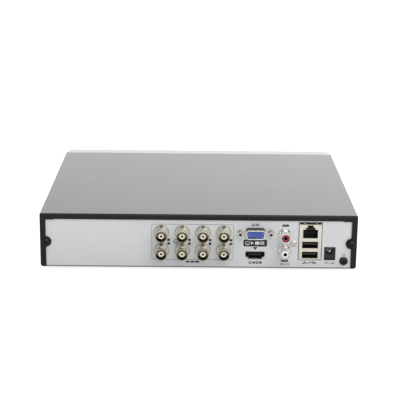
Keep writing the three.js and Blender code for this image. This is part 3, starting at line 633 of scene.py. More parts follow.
def panel_holes():
    """The rear panel's cut-outs, as outlines in X and Z."""
    holes = []
    for i in range(1, 9):
        mid = Place(f"bnc_shell_{i}").mid
        holes.append(circle(mid.x, mid.z, 6.45, 48))
    vga = Place("vga_shell").mid
    holes.append(shifted(display_d(0.45), vga.x, vga.z))
    for side in (-12.5, 12.5):
        holes.append(circle(vga.x + side, vga.z, 1.7, 24))
    video = Place("digital_video_shell").mid
    holes.append(shifted(digital_video_outline(0.4), video.x, video.z))
    for name in ("in", "out"):
        mid = Place(f"rca_shell_{name}").mid
        holes.append(circle(mid.x, mid.z, 4.5, 40))
    stack = Place("lan_usb_shield")
    holes.append(rectangle(stack.mid.x, stack.mid.z + 0.1, stack.size.x + 0.8, stack.size.z + 1.0))
    jack = Place("dc_jack_body")
    holes.append(rectangle(jack.mid.x, jack.mid.z, jack.size.x + 0.6, jack.size.z + 0.6, 0.4))
    for name, radius in (("ground_screw", 2.2), ("video_panel_screw", 1.6), ("audio_panel_screw", 1.6)):
        mid = Place(name).mid
        holes.append(circle(mid.x, mid.z, radius, 32))
    for side in ("left", "right"):
        mid = Place("cover_screw_" + side).mid
        holes.append(circle(mid.x, mid.z, 1.8, 32))
    return holes


def floor_slots():
    slots = []
    for i in range(9):
        for x, y, width in ((-102.5 + i * 8, 43, 3), (75.25 + i * 5, -47, 2.5)):
            outline = rectangle(x, y, width, 30, width / 2 - 0.05)
            slots.append(slab(outline, TRAY.low.z - 1, FLOOR + 1, axis="Z"))
    return slots


def build_tray():
    """The folded steel tray. Its rear wall is the painted panel that the sockets come through."""
    low, high = TRAY.low, TRAY.high
    front_top = 44.0
    side_top = 14.5

    def folds(p):
        at_end = abs(p.y - (low.y + high.y) / 2) > (high.y - low.y) / 2 - 0.01
        at_side = abs(p.x) > high.x - 0.01
        return (p.z < low.z + 0.01 and (at_end or at_side)) or (p.z > high.z - 0.01 and p.y > high.y - 0.01)

    tray = block(low, high, 1.4, 5, folds)
    inner_y = high.y - SHEET
    tray = cut(tray, block((low.x + SHEET, low.y + SHEET, FLOOR),
                           (high.x - SHEET, inner_y, high.z - SHEET)))
    tray = cut(tray, block((low.x - 1, low.y - 1, front_top), (high.x + 1, high.y - 7, high.z + 1)))
    tray = cut(tray, block((low.x - 1, low.y + SHEET, side_top), (high.x + 1, inner_y, high.z - SHEET)))
    tray = cut(tray, *[slab(hole, inner_y - 1, high.y + 1) for hole in panel_holes()])
    wall = (low.y - 1, low.y + SHEET + 1)
    board = Place("indicator_board")
    tools = [block((board.low.x - 2, wall[0], 7), (board.high.x + 2, wall[1], 25))]
    for x in (-112, -40, 40, 112):
        for z in (9, 39):
            tools.append(slab(rectangle(x, z, 10, 3.4), *wall))
    tray = cut(tray, *tools, *floor_slots())
    shape = edge_softened(tray, 0.12)
    obj = piece("tray", shape, "zinc_sheet", stands_for="chassis_tray")
    paint_rear_panel(obj.data)
    # The fold's downward faces get darker zinc: painted shade where they face the floor under the case.
    repaint(obj.data, "zinc_painted_shade", lambda p, normal: p.z < low.z + 1.4 and normal.z < -0.12)
    for i, (x, y) in enumerate((x, y) for x in (40, -38, -118) for y in (11, 78)):
        under = Place("main_board").low.z - CLEAR
        profile = [(0, FLOOR - 0.2), (2.9, FLOOR - 0.2), (2.9, under), (1.3, under), (1.3, 5), (0, 5)]
        bm = turned(profile, x, y=y, count=6, axis="Z")
        piece(f"board_standoff_{i + 1}", bm, "gold")


def paint_rear_panel(mesh):
    """Gives the faces that look to the rear the panel's paint."""
    repaint(mesh, "silver_panel", lambda p, normal: p.y > PANEL - 1.6 and normal.y > 0.75)


def repaint(mesh, material, chosen):
    """Gives a second material to the faces that chosen(centre in millimetres, normal) accepts."""
    mesh.materials.append(MATERIAL[material])
    for face in mesh.polygons:
        if chosen(face.center / MM, face.normal):
            face.material_index = len(mesh.materials) - 1


def build_bezel():
    """The moulded front: a tapered shell, hollow at the back, with hooks, ledge and lens holes."""
    low, high = BEZEL.low, BEZEL.high
    seam = COVER.low.y
    taper, rise, wall = 3.0, 2.0, 2.0

    def tapered(inset, front, back, radius, steps):
        half = high.x - inset
        bm = block((-half, front, low.z + inset), (half, back, high.z - inset))
        for v in bm.verts:
            if v.co.y < (front + back) / 2:
                v.co.x -= math.copysign(taper, v.co.x)
                if v.co.z < 20:
                    v.co.z += rise
        if radius:
            edges = [e for e in bm.edges if min(v.co.y for v in e.verts) < (front + back) / 2]
            soften(bm, edges, radius, steps)
        return clean(bm)

    front = low.y
    shell = cut(tapered(0, front, seam, 0.8, 4), tapered(wall, front + wall, seam + 1, 0, 0))
    lens_x = (-72, -82, -92)
    tools = [slab(circle(x, 14, 1.6, 32), front - 1, front + wall + 1) for x in lens_x]
    tools.append(block((-high.x, front - 1, 20.1), (high.x, front + 0.6, 20.9)))
    shell = cut(shell, *tools)
    shell = edge_softened(shell, 0.2, 60)
    piece("bezel_shell", shell, "bezel", stands_for="front_bezel")
    for i, (x, z) in enumerate((x, z) for x in (-112, -40, 40, 112) for z in (9, 39)):
        arm = block((x - 4, front + wall - 0.2, z - 1.1), (x + 4, TRAY.low.y + 2.6, z + 0.5), 0.2)
        piece(f"bezel_hook_{i + 1}", arm, "bezel")
    ledge = block((-118, seam - 7, 44.4), (118, high.y, COVER.high.z - SHEET - CLEAR), 0.3)
    piece("bezel_ledge", ledge, "bezel")


def build_feet():
    for side in ("front_left", "front_right", "rear_left", "rear_right"):
        node = "rubber_foot_" + side
        place = Place(node)
        top, bottom = place.high.z, place.low.z
        profile = [(0, bottom + 0.35), (5.4, bottom + 0.35), (5.9, bottom), (7.3, bottom), (8, top),
                   (0, top)]
        radii = [0, 0.3, 0.2, 0.45, 0, 0]
        bm = turned(rounded(profile, radii, 3), place.mid.x, y=place.mid.y, count=64, axis="Z")
        piece("foot_" + side, bm, "rubber", stands_for=node)


# ---------------------------------------------------------------- screws


def cross_screw(head_r, head_h, shank_r, length, recess, dome=0.55):
    """A pan-head screw along Y with the underside of its head at y = 0, and a tapered cross recess."""
    profile = [(0, -length), (shank_r * 0.7, -length), (shank_r, -length + 0.8), (shank_r, 0), (head_r, 0)]
    for k in range(9):
        angle = math.pi / 2 * k / 8
        profile.append((head_r * math.cos(angle) ** dome, head_h * (0.35 + 0.65 * math.sin(angle))))
    body = turned(profile[:-1] + [(0, head_h)], count=56)
    deep = head_h * 0.35
    for turn in (0, math.pi / 2):
        arm = block((-recess / 2, deep, -recess / 8), (recess / 2, head_h + 1, recess / 8))
        spun(arm, turn + 0.3, "Y")
        body = cut(body, arm)
    return body


def build_screws():
    for side in ("left", "right"):
        node = "cover_screw_" + side
        mid = Place(node).mid
        bm = cross_screw(3.0, 2.0, 1.5, 8, 3.0)
        at = (mid.x, COVER.high.y, mid.z)
        piece("flange_screw_" + side, bm, "black_screw", "cover", node, at)
    ground = Place("ground_screw").on_panel()
    bm = cross_screw(3.5, 2.4, 1.9, 9, 3.2, 0.45)
    piece("earth_screw", bm, "black_screw", "case", "ground_screw", ground)
    for name in ("video", "audio"):
        node = name + "_panel_screw"
        bm = cross_screw(2.6 if name == "audio" else 2.1, 1.5, 1.25, 6, 2.4)
        metal = "screw_steel" if name == "audio" else "dull_steel"
        screw = piece(name + "_screw", bm, metal, "case", node, Place(node).on_panel())
        # The cross recess is darkened nickel: painted shade.
        repaint(screw.data, "nickel_painted_shade", lambda p, normal: p.length < 2.2 and normal.y < 0.5
                and p.y > 0.1)


# ---------------------------------------------------------------- video inputs


def bnc_shell_shape(reach):
    """The bayonet socket's metal: flange, stepped neck with two grooves, rolled barrel and lugs."""
    profile = [
        (6.35, -1.0), (6.35, 0.5), (5.95, 0.5), (5.95, 0.3), (5.75, 0.3), (5.75, 0.5),
        (5.45, 0.5), (5.45, 1.5), (4.75, 1.5), (4.75, 2.3), (5.25, 2.3), (5.25, 3.3),
        (4.5, 3.3), (4.5, 3.9), (4.83, 3.9), (4.83, reach - 0.7), (4.5, reach), (4.25, reach), (4.25, 3.6),
        (2.9, 3.6), (2.9, -1.0),
    ]
    body = turned(filleted(profile, 0.05, 2), count=64)
    lug = turned(rounded([(0, 0), (1.0, 0), (1.0, 0.75), (0, 0.75)], [0, 0, 0.25, 0], 3), count=24)
    lugs = []
    for turn in (0, math.pi):
        bm = lug.copy()
        spun(bm, math.pi / 2, "X")
        bmesh.ops.translate(bm, vec=(0, 6.3, 4.7), verts=bm.verts)
        spun(bm, turn, "Y")
        lugs.append(clean(bm))
    lug.free()
    return cut(joined(body, *lugs), block((-KEYWAY, 0.3, 4.9), (KEYWAY, 3.6, 7)))


def off_axis(point):
    """How far a point of a turned shape is from the Y axis."""
    return math.hypot(point.x, point.z)


def in_bnc_groove(point, _normal):
    """The grooves of the neck and the flange, where painted shadow goes."""
    radius = off_axis(point)
    in_neck = 4.43 < radius < 4.8 and (1.6 < point.y < 2.3 or 3.35 < point.y < 3.85)
    in_flange = 5.7 < radius < 5.97 and 0 < point.y < 0.46
    return in_neck or in_flange


def in_bnc_recess(point, _normal):
    """The bore, and the keyway above the neck, where painted shade goes."""
    in_keyway = abs(point.x) < KEYWAY + 0.01 and point.z > 4.8 and point.y < 3.7
    return in_keyway or off_axis(point) < 4.42


def build_video_inputs():
    reach = Place("bnc_shell_1").high.y - PANEL
    front = Place("bnc_insulator_1").high.y - PANEL
    seat = [(0, -0.7), (2.6, -0.7), (2.6, front - 1.2), (2.35, front - 0.3), (2.05, front), (1.15, front),
            (0.95, front - 0.2), (0.95, 3.6), (0, 3.6)]
    sleeve = [(0, 3.4), (0.8, 3.4), (0.8, front - 3.5), (0.65, front - 3.3), (0.4, front - 3.3), (0.4, 5),
              (0, 5)]
    # Each kind's shape, material, slot and CAD node.
    kinds = [
        ("video_socket", bnc_shell_shape(reach), "nickel", "nickel", "bnc_shell"),
        ("video_insulator", turned(filleted(seat, 0.06, 2), count=56), "ivory", "white_plastic",
         "bnc_insulator"),
        # The contact sleeve is darkened nickel: painted shade inside the insulator's bore.
        ("video_contact", turned(filleted(sleeve, 0.04, 2), count=32), "nickel_painted_shade", "nickel", None),
    ]
    for kind, shape, material, slot, node in kinds:
        mesh = None
        for i in range(1, 9):
            at = Place(f"bnc_shell_{i}").on_panel()
            stands_for = f"{node}_{i}" if node else ()
            if mesh is None:
                mesh = piece(f"{kind}_{i}", shape, material, "case", stands_for, at).data
            else:
                placed(f"{kind}_{i}", mesh, "case", stands_for, at)
        if kind == "video_socket":
            # The bore and keyway get darkened nickel, and the grooves near-black metal: painted shade and
            # painted shadow.
            repaint(mesh, "nickel_painted_shade", in_bnc_recess)
            repaint(mesh, "metal_painted_shadow", in_bnc_groove)
        if kind == "video_insulator":
            # The insulator's bore is black: painted shade in the hole.
            repaint(mesh, "black", lambda p, normal: off_axis(p) < 1.0)
    housing = Place("bnc_block")
    bm = block(housing.low, housing.high, 0.4, 2)
    screw = Place("video_panel_screw")
    bm = cut(bm, slab(circle(screw.mid.x, screw.mid.z, 1.55, 32), housing.high.y - 7, housing.high.y + 1))
    piece("video_housing", bm, "black", stands_for="bnc_block")


# ---------------------------------------------------------------- display outputs


def display_d(grow):
    """The D of a 15-way display socket, widest at the top."""
    top = 8.3 + grow
    h = 3.95 + grow
    lean = 2 * h * math.tan(math.radians(10))
    return rounded([(-top + lean, -h), (top - lean, -h), (top, h), (-top, h)], 2.2 + grow, 7)


def digital_video_outline(grow):
    """The digital video socket's outline, stepped in at its two lower corners."""
    w, h, c = 7.5 + grow, 2.8 + grow, 1.7
    points = [(-w + c + 0.5, -h), (w - c - 0.5, -h), (w - c + 0.4, -h + c), (w, -h + c + 0.2), (w, h),
              (-w, h), (-w, -h + c + 0.2), (-w + c - 0.4, -h + c)]
    return rounded(points, [0.3, 0.3, 0.2, 0.3, 0.35, 0.35, 0.3, 0.2], 3)


def build_display_socket():
    place = Place("vga_shell")
    at = place.on_panel()
    reach = place.high.y - PANEL
    collar = slab(rectangle(0, 0, 31, 12.5, 1.0), -2.3, -1.3)
    shell = joined(collar, slab(display_d(0), -2.2, reach))
    tools = [slab(display_d(-0.9), -4, reach + 1)]
    tools += [slab(circle(side, 0, 1.7, 24), -4, 2) for side in (-12.5, 12.5)]
    shell = edge_softened(cut(shell, *tools), 0.15)
    obj = piece("display_shell", shell, "tin", "case", "vga_shell", at)
    # The shell's upward faces behind its rim are near-black metal: painted shadow.
    repaint(obj.data, "metal_painted_shadow", lambda p, normal: 0 < p.y < reach - 0.2 and p.z > 2 and normal.z > 0.3)

    front = Place("vga_insert").high.y - PANEL
    insert = joined(slab(display_d(-1.2), -6, front), block((-12, -10, -5.5), (12, -2.6, 5.5), 0.3))
    insert = edge_softened(insert, 0.12)
    holes = []
    for row in range(3):
        for i in range(5):
            x = (i - 2) * 2.29 + (-0.57 if row == 1 else 0.57)
            holes.append(turned([(0, front - 4), (0.66, front - 4), (0.66, front - 0.1),
                                 (0.72, front + 0.5), (0, front + 0.5)], x, (1 - row) * 1.85, count=16))
    obj = piece("display_insert", cut(insert, *holes), "blue", "case", "vga_insert", at)
    # The pin holes' walls are darker blue: painted shade.
    repaint(obj.data, "blue_painted_shade", lambda p, normal: abs(p.x) < 6 and abs(p.z) < 2.85
            and front - 4.2 < p.y < front - 0.02)
    for side in ("left", "right"):
        node = "vga_post_" + side
        post = piece("display_post_" + side, jack_post(), "tin", "case", node,
                     Place(node).on_panel())
        # The post's bore and its upward faces are darkened nickel: painted shade.
        repaint(post.data, "nickel_painted_shade", lambda p, normal: off_axis(p) < 1.4
                or (normal.z > 0.3 and p.y < 4.5))


def jack_post():
    """A hex post with a chamfered end, threaded inside."""
    hexagon = turned([(0, 0), (2.7, 0), (2.7, 4.7), (2.3, 5.2), (0, 5.2)], count=6)
    spun(hexagon, math.pi / 6, "Y")
    washer = turned(rounded([(0, -0.0), (2.95, 0.0), (2.95, 0.5), (0, 0.5)], [0, 0, 0.2, 0], 2), count=40)
    stud = turned([(0, -2.5), (1.4, -2.5), (1.4, 0.5), (0, 0.5)], count=24)
    post = joined(hexagon, washer, stud)
    bore = [(0, 1.5), (1.35, 1.5)]
    for k in range(12):
        bore += [(1.35, 1.6 + k * 0.3), (1.2, 1.75 + k * 0.3)]
    bore += [(1.35, 5.0), (1.7, 5.4), (0, 5.4)]
    return cut(post, turned(bore, count=28))


def build_digital_video():
    place = Place("digital_video_shell")
    at = place.on_panel()
    reach = place.high.y - PANEL
    shell = cut(slab(digital_video_outline(0), -11, reach),
                slab(digital_video_outline(-0.4), -10, reach + 1))
    shell = edge_softened(shell, 0.08)
    obj = piece("digital_video_surround", shell, "tin", "case", "digital_video_shell", at)
    # Black over the tin shell except on the front by its lower stepped corners: painted shade, with the tin
    # left there as a painted highlight.
    repaint(obj.data, "black", lambda p, normal: p.y < reach - 0.1 or abs(p.z + 1.7) > 0.9)
    back = slab(digital_video_outline(-0.7), -9.7, -7.5)
    tongue = joined(back, block((-5.5, -8, -0.4), (5.5, -1.2, 1.2), 0.15))
    piece("digital_video_blade", tongue, "black", "case", "digital_video_tongue", at)
    contacts = [block((x - 0.16, -7.2, -0.5), (x + 0.16, -1.5, -0.35))
                for x in (i * 0.5 - 4.5 for i in range(19))]
    piece("digital_video_contacts", together(*contacts), "dull_gold", at=at)


# ---------------------------------------------------------------- audio sockets


def build_audio_sockets():
    for name, insulator_finish, slot in (("in", "red", "red_plastic"), ("out", "white", "white_plastic")):
        place = Place("rca_shell_" + name)
        at = place.on_panel()
        reach = place.high.y - PANEL
        profile = [(4.15, -1), (4.15, 0), (5.4, 0), (5.4, 0.8), (5.1, 0.8), (5.1, 0.4), (4.85, 0.4),
                   (4.85, 0.8), (4.6, 0.8), (4.6, 1.6), (3.9, 1.6), (3.9, 2.3), (4.15, 2.3),
                   (4.15, reach - 0.6), (3.95, reach), (3.35, reach), (3.2, reach - 0.3), (3.2, -1)]
        shell = turned(filleted(profile, 0.05, 2), count=64)
        notch = block((-0.6, -0.1, 4.2), (0.6, 1.8, 6.2))
        spun(notch, math.radians(-42), "Y")
        obj = piece("audio_shell_" + name, cut(shell, notch), "chrome", "case", "rca_shell_" + name,
                    at)
        turn = math.radians(-42)
        across = Vector((math.cos(turn), 0, -math.sin(turn)))
        outward = Vector((math.sin(turn), 0, math.cos(turn)))
        # The neck ring, the flange groove and the notch are near-black metal: painted shadow.
        repaint(obj.data, "metal_painted_shadow", lambda p, normal: (1.65 < p.y < 2.25 and p.length > 3.5)
                or (p.y < 0.75 and 4.8 < off_axis(p) < 5.12)
                or (p.y < 1.9 and abs(p.dot(across)) < 0.61 and p.dot(outward) > 4.1))
        front = Place("rca_insulator_" + name).high.y - PANEL
        seat = [(0, -1), (2.9, -1), (2.9, front - 0.3), (2.6, front), (1.7, front), (1.5, front - 0.25),
                (1.5, 1.5), (0, 1.5)]
        seat = piece("audio_insulator_" + name, turned(filleted(seat, 0.07, 2), count=56), insulator_finish,
                     "case", "rca_insulator_" + name, at)
        # The insulator's bore is black: painted shade in the hole.
        repaint(seat.data, "black", lambda p, normal: off_axis(p) < 1.55)
    housing = Place("audio_block")
    ear = Place("audio_panel_screw").mid
    low = Vector((Place("rca_shell_in").mid.x - 5.9, housing.low.y, housing.low.z))
    body = block(low, housing.high, 0.4, 2)
    tab = block((housing.low.x, housing.high.y - 5, ear.z - 3.5), (low.x + 1, housing.high.y, ear.z + 3.5),
                0.4, 2)
    bm = cut(joined(body, tab), slab(circle(ear.x, ear.z, 1.55, 32), housing.high.y - 6,
                                     housing.high.y + 1))
    piece("audio_housing", bm, "black", stands_for="audio_block")


# ---------------------------------------------------------------- network and USB stack


def build_network_stack():
    place = Place("lan_usb_shield")
    mouth = place.high.y
    x = place.mid.x
    upper, lower = Place("usb_tongue_upper"), Place("usb_tongue_lower")
    usb_z = [upper.mid.z, lower.mid.z]
    lan = Place("lan_contact_insert").low.z - CLEAR
    right = [(6.05, 0), (6.05, 7.4), (3.8, 7.4), (3.8, 9.2), (2.4, 9.2), (2.4, 11.1)]
    outline = right + [(-px, pz) for px, pz in reversed(right)]
    shield = block(place.low, place.high, 0.5, 3)
    tools = [slab(rounded(shifted(outline, x, lan), 0.2, 2), mouth - 14, mouth + 1)]
    tools += [slab(rectangle(x, z, 13, 5.6, 0.25, 2), mouth - 15, mouth + 1) for z in usb_z]
    half = (place.high.x - place.low.x) / 2 - 0.5
    tools.append(block((x - half, mouth - 1.5, place.high.z - 1.3),
                       (x + half, mouth + 1, place.high.z + 1)))
    shield = edge_softened(cut(shield, *tools), 0.12)
    obj = piece("network_shield", shield, "cream_tin", stands_for="lan_usb_shield")
    # The metal inside the mouths and the top notch is painted black: painted shade.
    repaint(obj.data, "black", lambda p, normal: mouth - 16 < p.y < mouth - 0.2
            and abs(p.x - x) < half + 0.01 and place.low.z + 0.9 < p.z)

    insert = Place("lan_contact_insert")
    comb = slab(rounded(shifted([(px * 0.95, pz * 0.97 + 0.15) for px, pz in outline], x, lan), 0.15, 2),
                insert.low.y, insert.high.y)
    piece("network_insert", comb, "black", stands_for="lan_contact_insert")
    springs = []
    for i in range(8):
        px = x + (i - 3.5) * 1.02
        route = [(px, insert.high.y - 0.2, lan + 6.6), (px, mouth - 4, lan + 6.7),
                 (px, mouth - 5.5, lan + 5.6), (px, insert.high.y + 0.4, lan + 2.6)]
        springs.append(pipe(route, 0.16, 8, 18))
    # The springs are darkened nickel: painted shade deep in the mouth.
    piece("network_contacts", together(*springs), "nickel_painted_shade")

    for name, tongue in (("upper", upper), ("lower", lower)):
        z = tongue.mid.z
        back = block((tongue.low.x, tongue.low.y, tongue.low.z),
                     (tongue.high.x, tongue.low.y + 2.7, tongue.high.z), 0.2)
        blade = block((x - 5.55, tongue.low.y + 2, z - 0.25), (x + 5.55, tongue.high.y, z + 1.65), 0.2)
        piece(f"usb_blade_{name}", joined(back, blade), "black", "case",
              "usb_tongue_" + name)
        pads = [block((x + k - 0.5, tongue.low.y + 3, z - 0.4), (x + k + 0.5, tongue.high.y - 0.8, z - 0.2),
                      0.06, 1) for k in (-3.5, -1.0, 1.0, 3.5)]
        piece(f"usb_contacts_{name}", together(*pads), "dull_gold")
    fingers = [block((x + k - 1.0, mouth - 2, place.high.z - 0.9),
                     (x + k + 1.0, mouth - 0.7, place.high.z - 0.5), 0.1) for k in (-4.6, 4.6)]
    piece("network_ground_fingers", together(*fingers), "dull_steel")


# ---------------------------------------------------------------- power socket


def build_power_socket():
    place = Place("dc_jack_body")
    pin = Place("dc_jack_pin")
    x, z, front = place.mid.x, pin.mid.z, place.high.y
    body = block(place.low, place.high, 0.35, 3)
    bore = turned([(0, front - 10), (3.15, front - 10), (3.15, front - 0.2), (3.35, front + 0.1),
                   (3.35, front + 1), (0, front + 1)], x, z, count=48)
    ledge = block((x - 3.6, front - 0.35, place.low.z + 0.8), (x + 3.6, front + 1, place.low.z + 2.2))
    piece("power_body", cut(body, bore, ledge), "black", stands_for="dc_jack_body")
    profile = [(0, pin.low.y), (2.85, pin.low.y), (2.85, pin.low.y + 1), (1, pin.low.y + 1),
               (1, pin.high.y - 0.5), (0.75, pin.high.y - 0.1), (0, pin.high.y)]
    piece("power_pin", turned(filleted(profile, 0.05, 2), x, z, count=40), "tin",
          stands_for="dc_jack_pin")


# ---------------------------------------------------------------- printing on the rear panel


def printed(name, outlines, colour="black_ink", layer=0):
    """Flat outlines as ink on the panel, each its own closed film. layer lifts one print over another."""
    low = PANEL + 0.005 + layer * PRINT
    shapes = [slab(outline, low, low + PRINT) for outline in outlines]
    return piece(name, together(*shapes), colour)


def stroke(points, width):
    """A line of straight pieces, each a thin bar."""
    bars = []
    for (x0, z0), (x1, z1) in zip(points, points[1:]):
        along = Vector((x1 - x0, z1 - z0)).normalized()
        side = Vector((-along.y, along.x)) * width / 2
        a, b = Vector((x0, z0)) - along * width / 2, Vector((x1, z1)) + along * width / 2
        bars.append([tuple(a - side), tuple(b - side), tuple(b + side), tuple(a + side)])
    return bars


def ring(name, outer, inner, colour):
    low = PANEL + 0.005
    return piece(name, slab(outer, low, low + PRINT, [inner]), colour)


def digit(text, x, z, height):
    """One numeral as a closed flat shape, from Blender's own font."""
    curve = bpy.data.curves.new("digit", "FONT")
    curve.body = text
    curve.size = height * 1.35
    curve.align_x = "CENTER"
    curve.align_y = "CENTER"
    curve.extrude = PRINT / 2
    holder = bpy.data.objects.new("digit", curve)
    bm = bmesh.new()
    bm.from_mesh(holder.to_mesh())
    holder.to_mesh_clear()
    bpy.data.objects.remove(holder)
    bpy.data.curves.remove(curve)
    # From behind, +X is to the left, so the numeral is turned to read that way.
    spun(bm, math.pi / 2, "X")
    spun(bm, math.pi, "Z")
    bmesh.ops.translate(bm, vec=(x, PANEL + 0.005 + 1.5 * PRINT, z), verts=bm.verts)
    return clean(bm)


def screen_icon(x, z, size):
    """A monitor on its foot, its middle at (x, z)."""
    low, high = z - size * 0.45, z + size * 0.8
    edge = [(x - size, low), (x + size, low), (x + size, high), (x - size, high), (x - size, low)]
    foot = [(x - size * 0.6, z - size * 0.85), (x + size * 0.6, z - size * 0.85)]
    return stroke(edge, LINE) + stroke(foot, LINE) + stroke([(x, low), (x, foot[0][1])], LINE)


def camera_icon(x, z):
    """A small camera with its lens."""
    lens = [(x - 0.7, z - 0.2), (x - 1.5, z - 0.9), (x - 1.5, z + 0.9), (x - 0.7, z + 0.2)]
    return [rectangle(x + 0.5, z, 2.5, 1.5, 0.2, 2), lens]


def speaker_icon(x, z):
    """A loudspeaker with three waves."""
    cone = [(x + 2.9, z - 0.5), (x + 1.5, z - 1.2), (x + 1.5, z + 1.2), (x + 2.9, z + 0.5)]
    waves = [rectangle(x + 0.4 - 1.2 * i, z, 0.6, 1.2 + 0.4 * i) for i in range(4)]
    return [rectangle(x + 3.6, z, 1.3, 1.1), cone] + waves


def network_icon(x, z):
    """Three linked machines."""
    boxes = [rectangle(x + dx, z + dz, 1.5, 0.9) for dx, dz in ((0, 0.6), (-1.3, -0.6), (1.3, -0.6))]
    return boxes + stroke([(x, z), (x, z - 0.5)], LINE)


def usb_icon(x, z):
    """A trident on its side."""
    prongs = stroke([(x + 3.0, z), (x - 2.4, z)], LINE)
    prongs += stroke([(x + 1.2, z), (x + 0.2, z + 0.8), (x - 1.2, z + 0.8)], LINE)
    prongs += stroke([(x + 0.4, z), (x - 0.6, z - 0.8), (x - 1.8, z - 0.8)], LINE)
    tip = [(x - 2.3, z - 0.5), (x - 3.2, z), (x - 2.3, z + 0.5)]
    return prongs + [circle(x + 3.0, z, 0.6, 16), circle(x - 1.9, z - 0.8, 0.4, 12), tip]


def build_video_marks():
    shells = [Place(f"bnc_shell_{i}").mid for i in range(1, 9)]
    left, right = shells[0].x, shells[7].x
    middle, width = (left + right) / 2, left - right + 16.2
    outer = rectangle(middle, 24.85, width, 30.5, 1.8, 6)
    inner = rectangle(middle, 24.85, width - 2 * LINE, 30.5 - 2 * LINE, 1.4, 6)
    ring("video_frame", outer, inner, "line_ink")
    for column in range(4):
        x = shells[column * 2].x - 5.9
        for row, z in enumerate((26.6, 23.4)):
            channel = column * 2 + row + 1
            printed(f"channel_mark_{channel}", [rectangle(x, z, 2.3, 2.2, 0.5, 3)])
            number = digit(str(channel), x, z, 0.8)
            piece(f"channel_number_{channel}", number, "grey_ink")
    cameras = [outline for x in (8.6, 4.7, 0.8) for outline in camera_icon(x, 7.8)]
    printed("video_in_icons", cameras)


def build_display_marks():
    display = Place("vga_shell").mid
    icons = screen_icon(display.x + 1.8, 40.0, 1.0)
    icons += [rectangle(display.x - 1.5, 40.0 + dz, 3.0, 0.45) for dz in (-0.6, 0.1, 0.8)]
    printed("display_icon", icons)
    x = Place("digital_video_shell").mid.x
    printed("video_plate", [rectangle(x, 24.4, 19.4, 5.9, 1.1, 5)])
    plate = screen_icon(x + 6.2, 24.3, 1.7) + [[(x + 3.4, 23.0), (x + 3.4, 25.8), (x + 1.2, 24.4)]]
    plate += [rectangle(x - 1.6, 24.4, 3.4, 2.6, 0.3, 2), rectangle(x - 5.6, 25.2, 3.4, 0.8),
              rectangle(x - 5.6, 23.6, 3.4, 0.8)]
    printed("video_plate_icons", plate, "white_ink", layer=1)
    printed("video_arrow", [[(x - 2.1, 20.8), (x + 2.1, 20.8), (x, 18.6)]])
    icons = screen_icon(x + 3.9, 7.5, 1.0) + [rectangle(x + 0.9, 7.5, 2.2, 1.6, 0.3, 2)]
    icons += [rectangle(x - 1.9, 7.5 + dz, 2.4, 0.8) for dz in (-0.6, 0.6)]
    icons.append(rectangle(x - 4.6, 7.5, 2.0, 1.9, 0.3, 2))
    printed("video_icons", icons)


def build_audio_marks():
    x = Place("rca_shell_in").mid.x - 0.4
    for name, z, way in (("in", 39.55, 1), ("out", 9.3, -1)):
        printed("audio_plate_" + name, [rectangle(x, z, 5.5, 1.9, 0.5, 4)])
        arrow = [rectangle(x, z, 2.0, 0.25), [(x + way * 1.0, z - 0.35), (x + way * 1.0, z + 0.35),
                                              (x + way * 1.6, z)]]
        printed("audio_arrow_" + name, arrow, "grey_ink", layer=1)
    printed("audio_icon", speaker_icon(x - 0.1, 6.3), "line_ink")


def build_marks():
    """Pictograms in place of the lettering: cameras, screens, sound, network, USB, power and earth."""
    build_video_marks()
    build_display_marks()
    build_audio_marks()
    x = Place("lan_usb_shield").mid.x - 0.5
    printed("network_icons", network_icon(x + 4.4, 7.8) + usb_icon(x - 2.2, 7.8))
    build_power_marks()


def build_power_marks():
    x, z = Place("dc_jack_body").mid.x - 0.4, 7.6
    symbol = stroke([(x + 4.0, z + 0.5), (x + 1.2, z + 0.5)], 0.6)
    symbol += [rectangle(x + 3.8 - 1.2 * i, z - 0.5, 0.8, 0.6) for i in range(3)]
    printed("power_icons", symbol, "line_ink")
    printed("power_polarity", stroke([(x - 0.3, z), (x - 4.3, z)], LINE) + [circle(x - 2.2, z, 0.8, 20)],
            "line_ink")
    ground = Place("ground_screw").mid
    x, z = ground.x - 0.2, ground.z + 5.7
    earth = stroke([(x, z + 1.4), (x, z + 0.3)], 0.35)
    for i, half in enumerate((1.9, 1.2, 0.5)):
        earth += stroke([(x - half, z + 0.2 - 0.65 * i), (x + half, z + 0.2 - 0.65 * i)], 0.32)
    printed("earth_icon", earth, "line_ink")


# ---------------------------------------------------------------- inside the case


def chip(name, x, y, z, width, depth, height, pins):
    """A flat package with a dimple, and legs along two sides."""
    body = block((x - width / 2, y - depth / 2, z + 0.15), (x + width / 2, y + depth / 2, z + height), 0.18,
                 2)
    dimple = turned([(0, z + height - 0.1), (0.45, z + height - 0.1), (0.45, z + height + 1),
                     (0, z + height + 1)], x - width / 2 + 1.1, y=y - depth / 2 + 1.1, count=16, axis="Z")
    piece(name, cut(body, dimple), "chip")
    legs = []
    for i in range(pins):
        px = x + (i - (pins - 1) / 2) * (width - 1.2) / (pins - 1)
        for side in (-1, 1):
            y0, y1 = sorted((y + side * (depth / 2 - 0.05), y + side * (depth / 2 + 0.9)))
            legs.append(block((px - 0.16, y0, z), (px + 0.16, y1, z + 0.3)))
    piece(name + "_legs", together(*legs), "tin")


def capacitor(name, x, y, z, radius, height):
    """A can with a rolled shoulder and a metal disc on top."""
    profile = [(0, z), (radius, z), (radius, z + 1.2), (radius - 0.25, z + 1.6), (radius, z + 2.0),
               (radius, z + height - 0.3), (radius - 0.5, z + height), (0, z + height)]
    piece(name, turned(filleted(profile, 0.12, 2), x, y=y, count=40, axis="Z"), "sleeve")
    top = turned([(0, z + height - 0.05), (radius - 0.55, z + height - 0.05),
                  (radius - 0.55, z + height + 0.05), (0, z + height + 0.05)], x, y=y, count=40, axis="Z")
    piece(name + "_top", top, "aluminium")


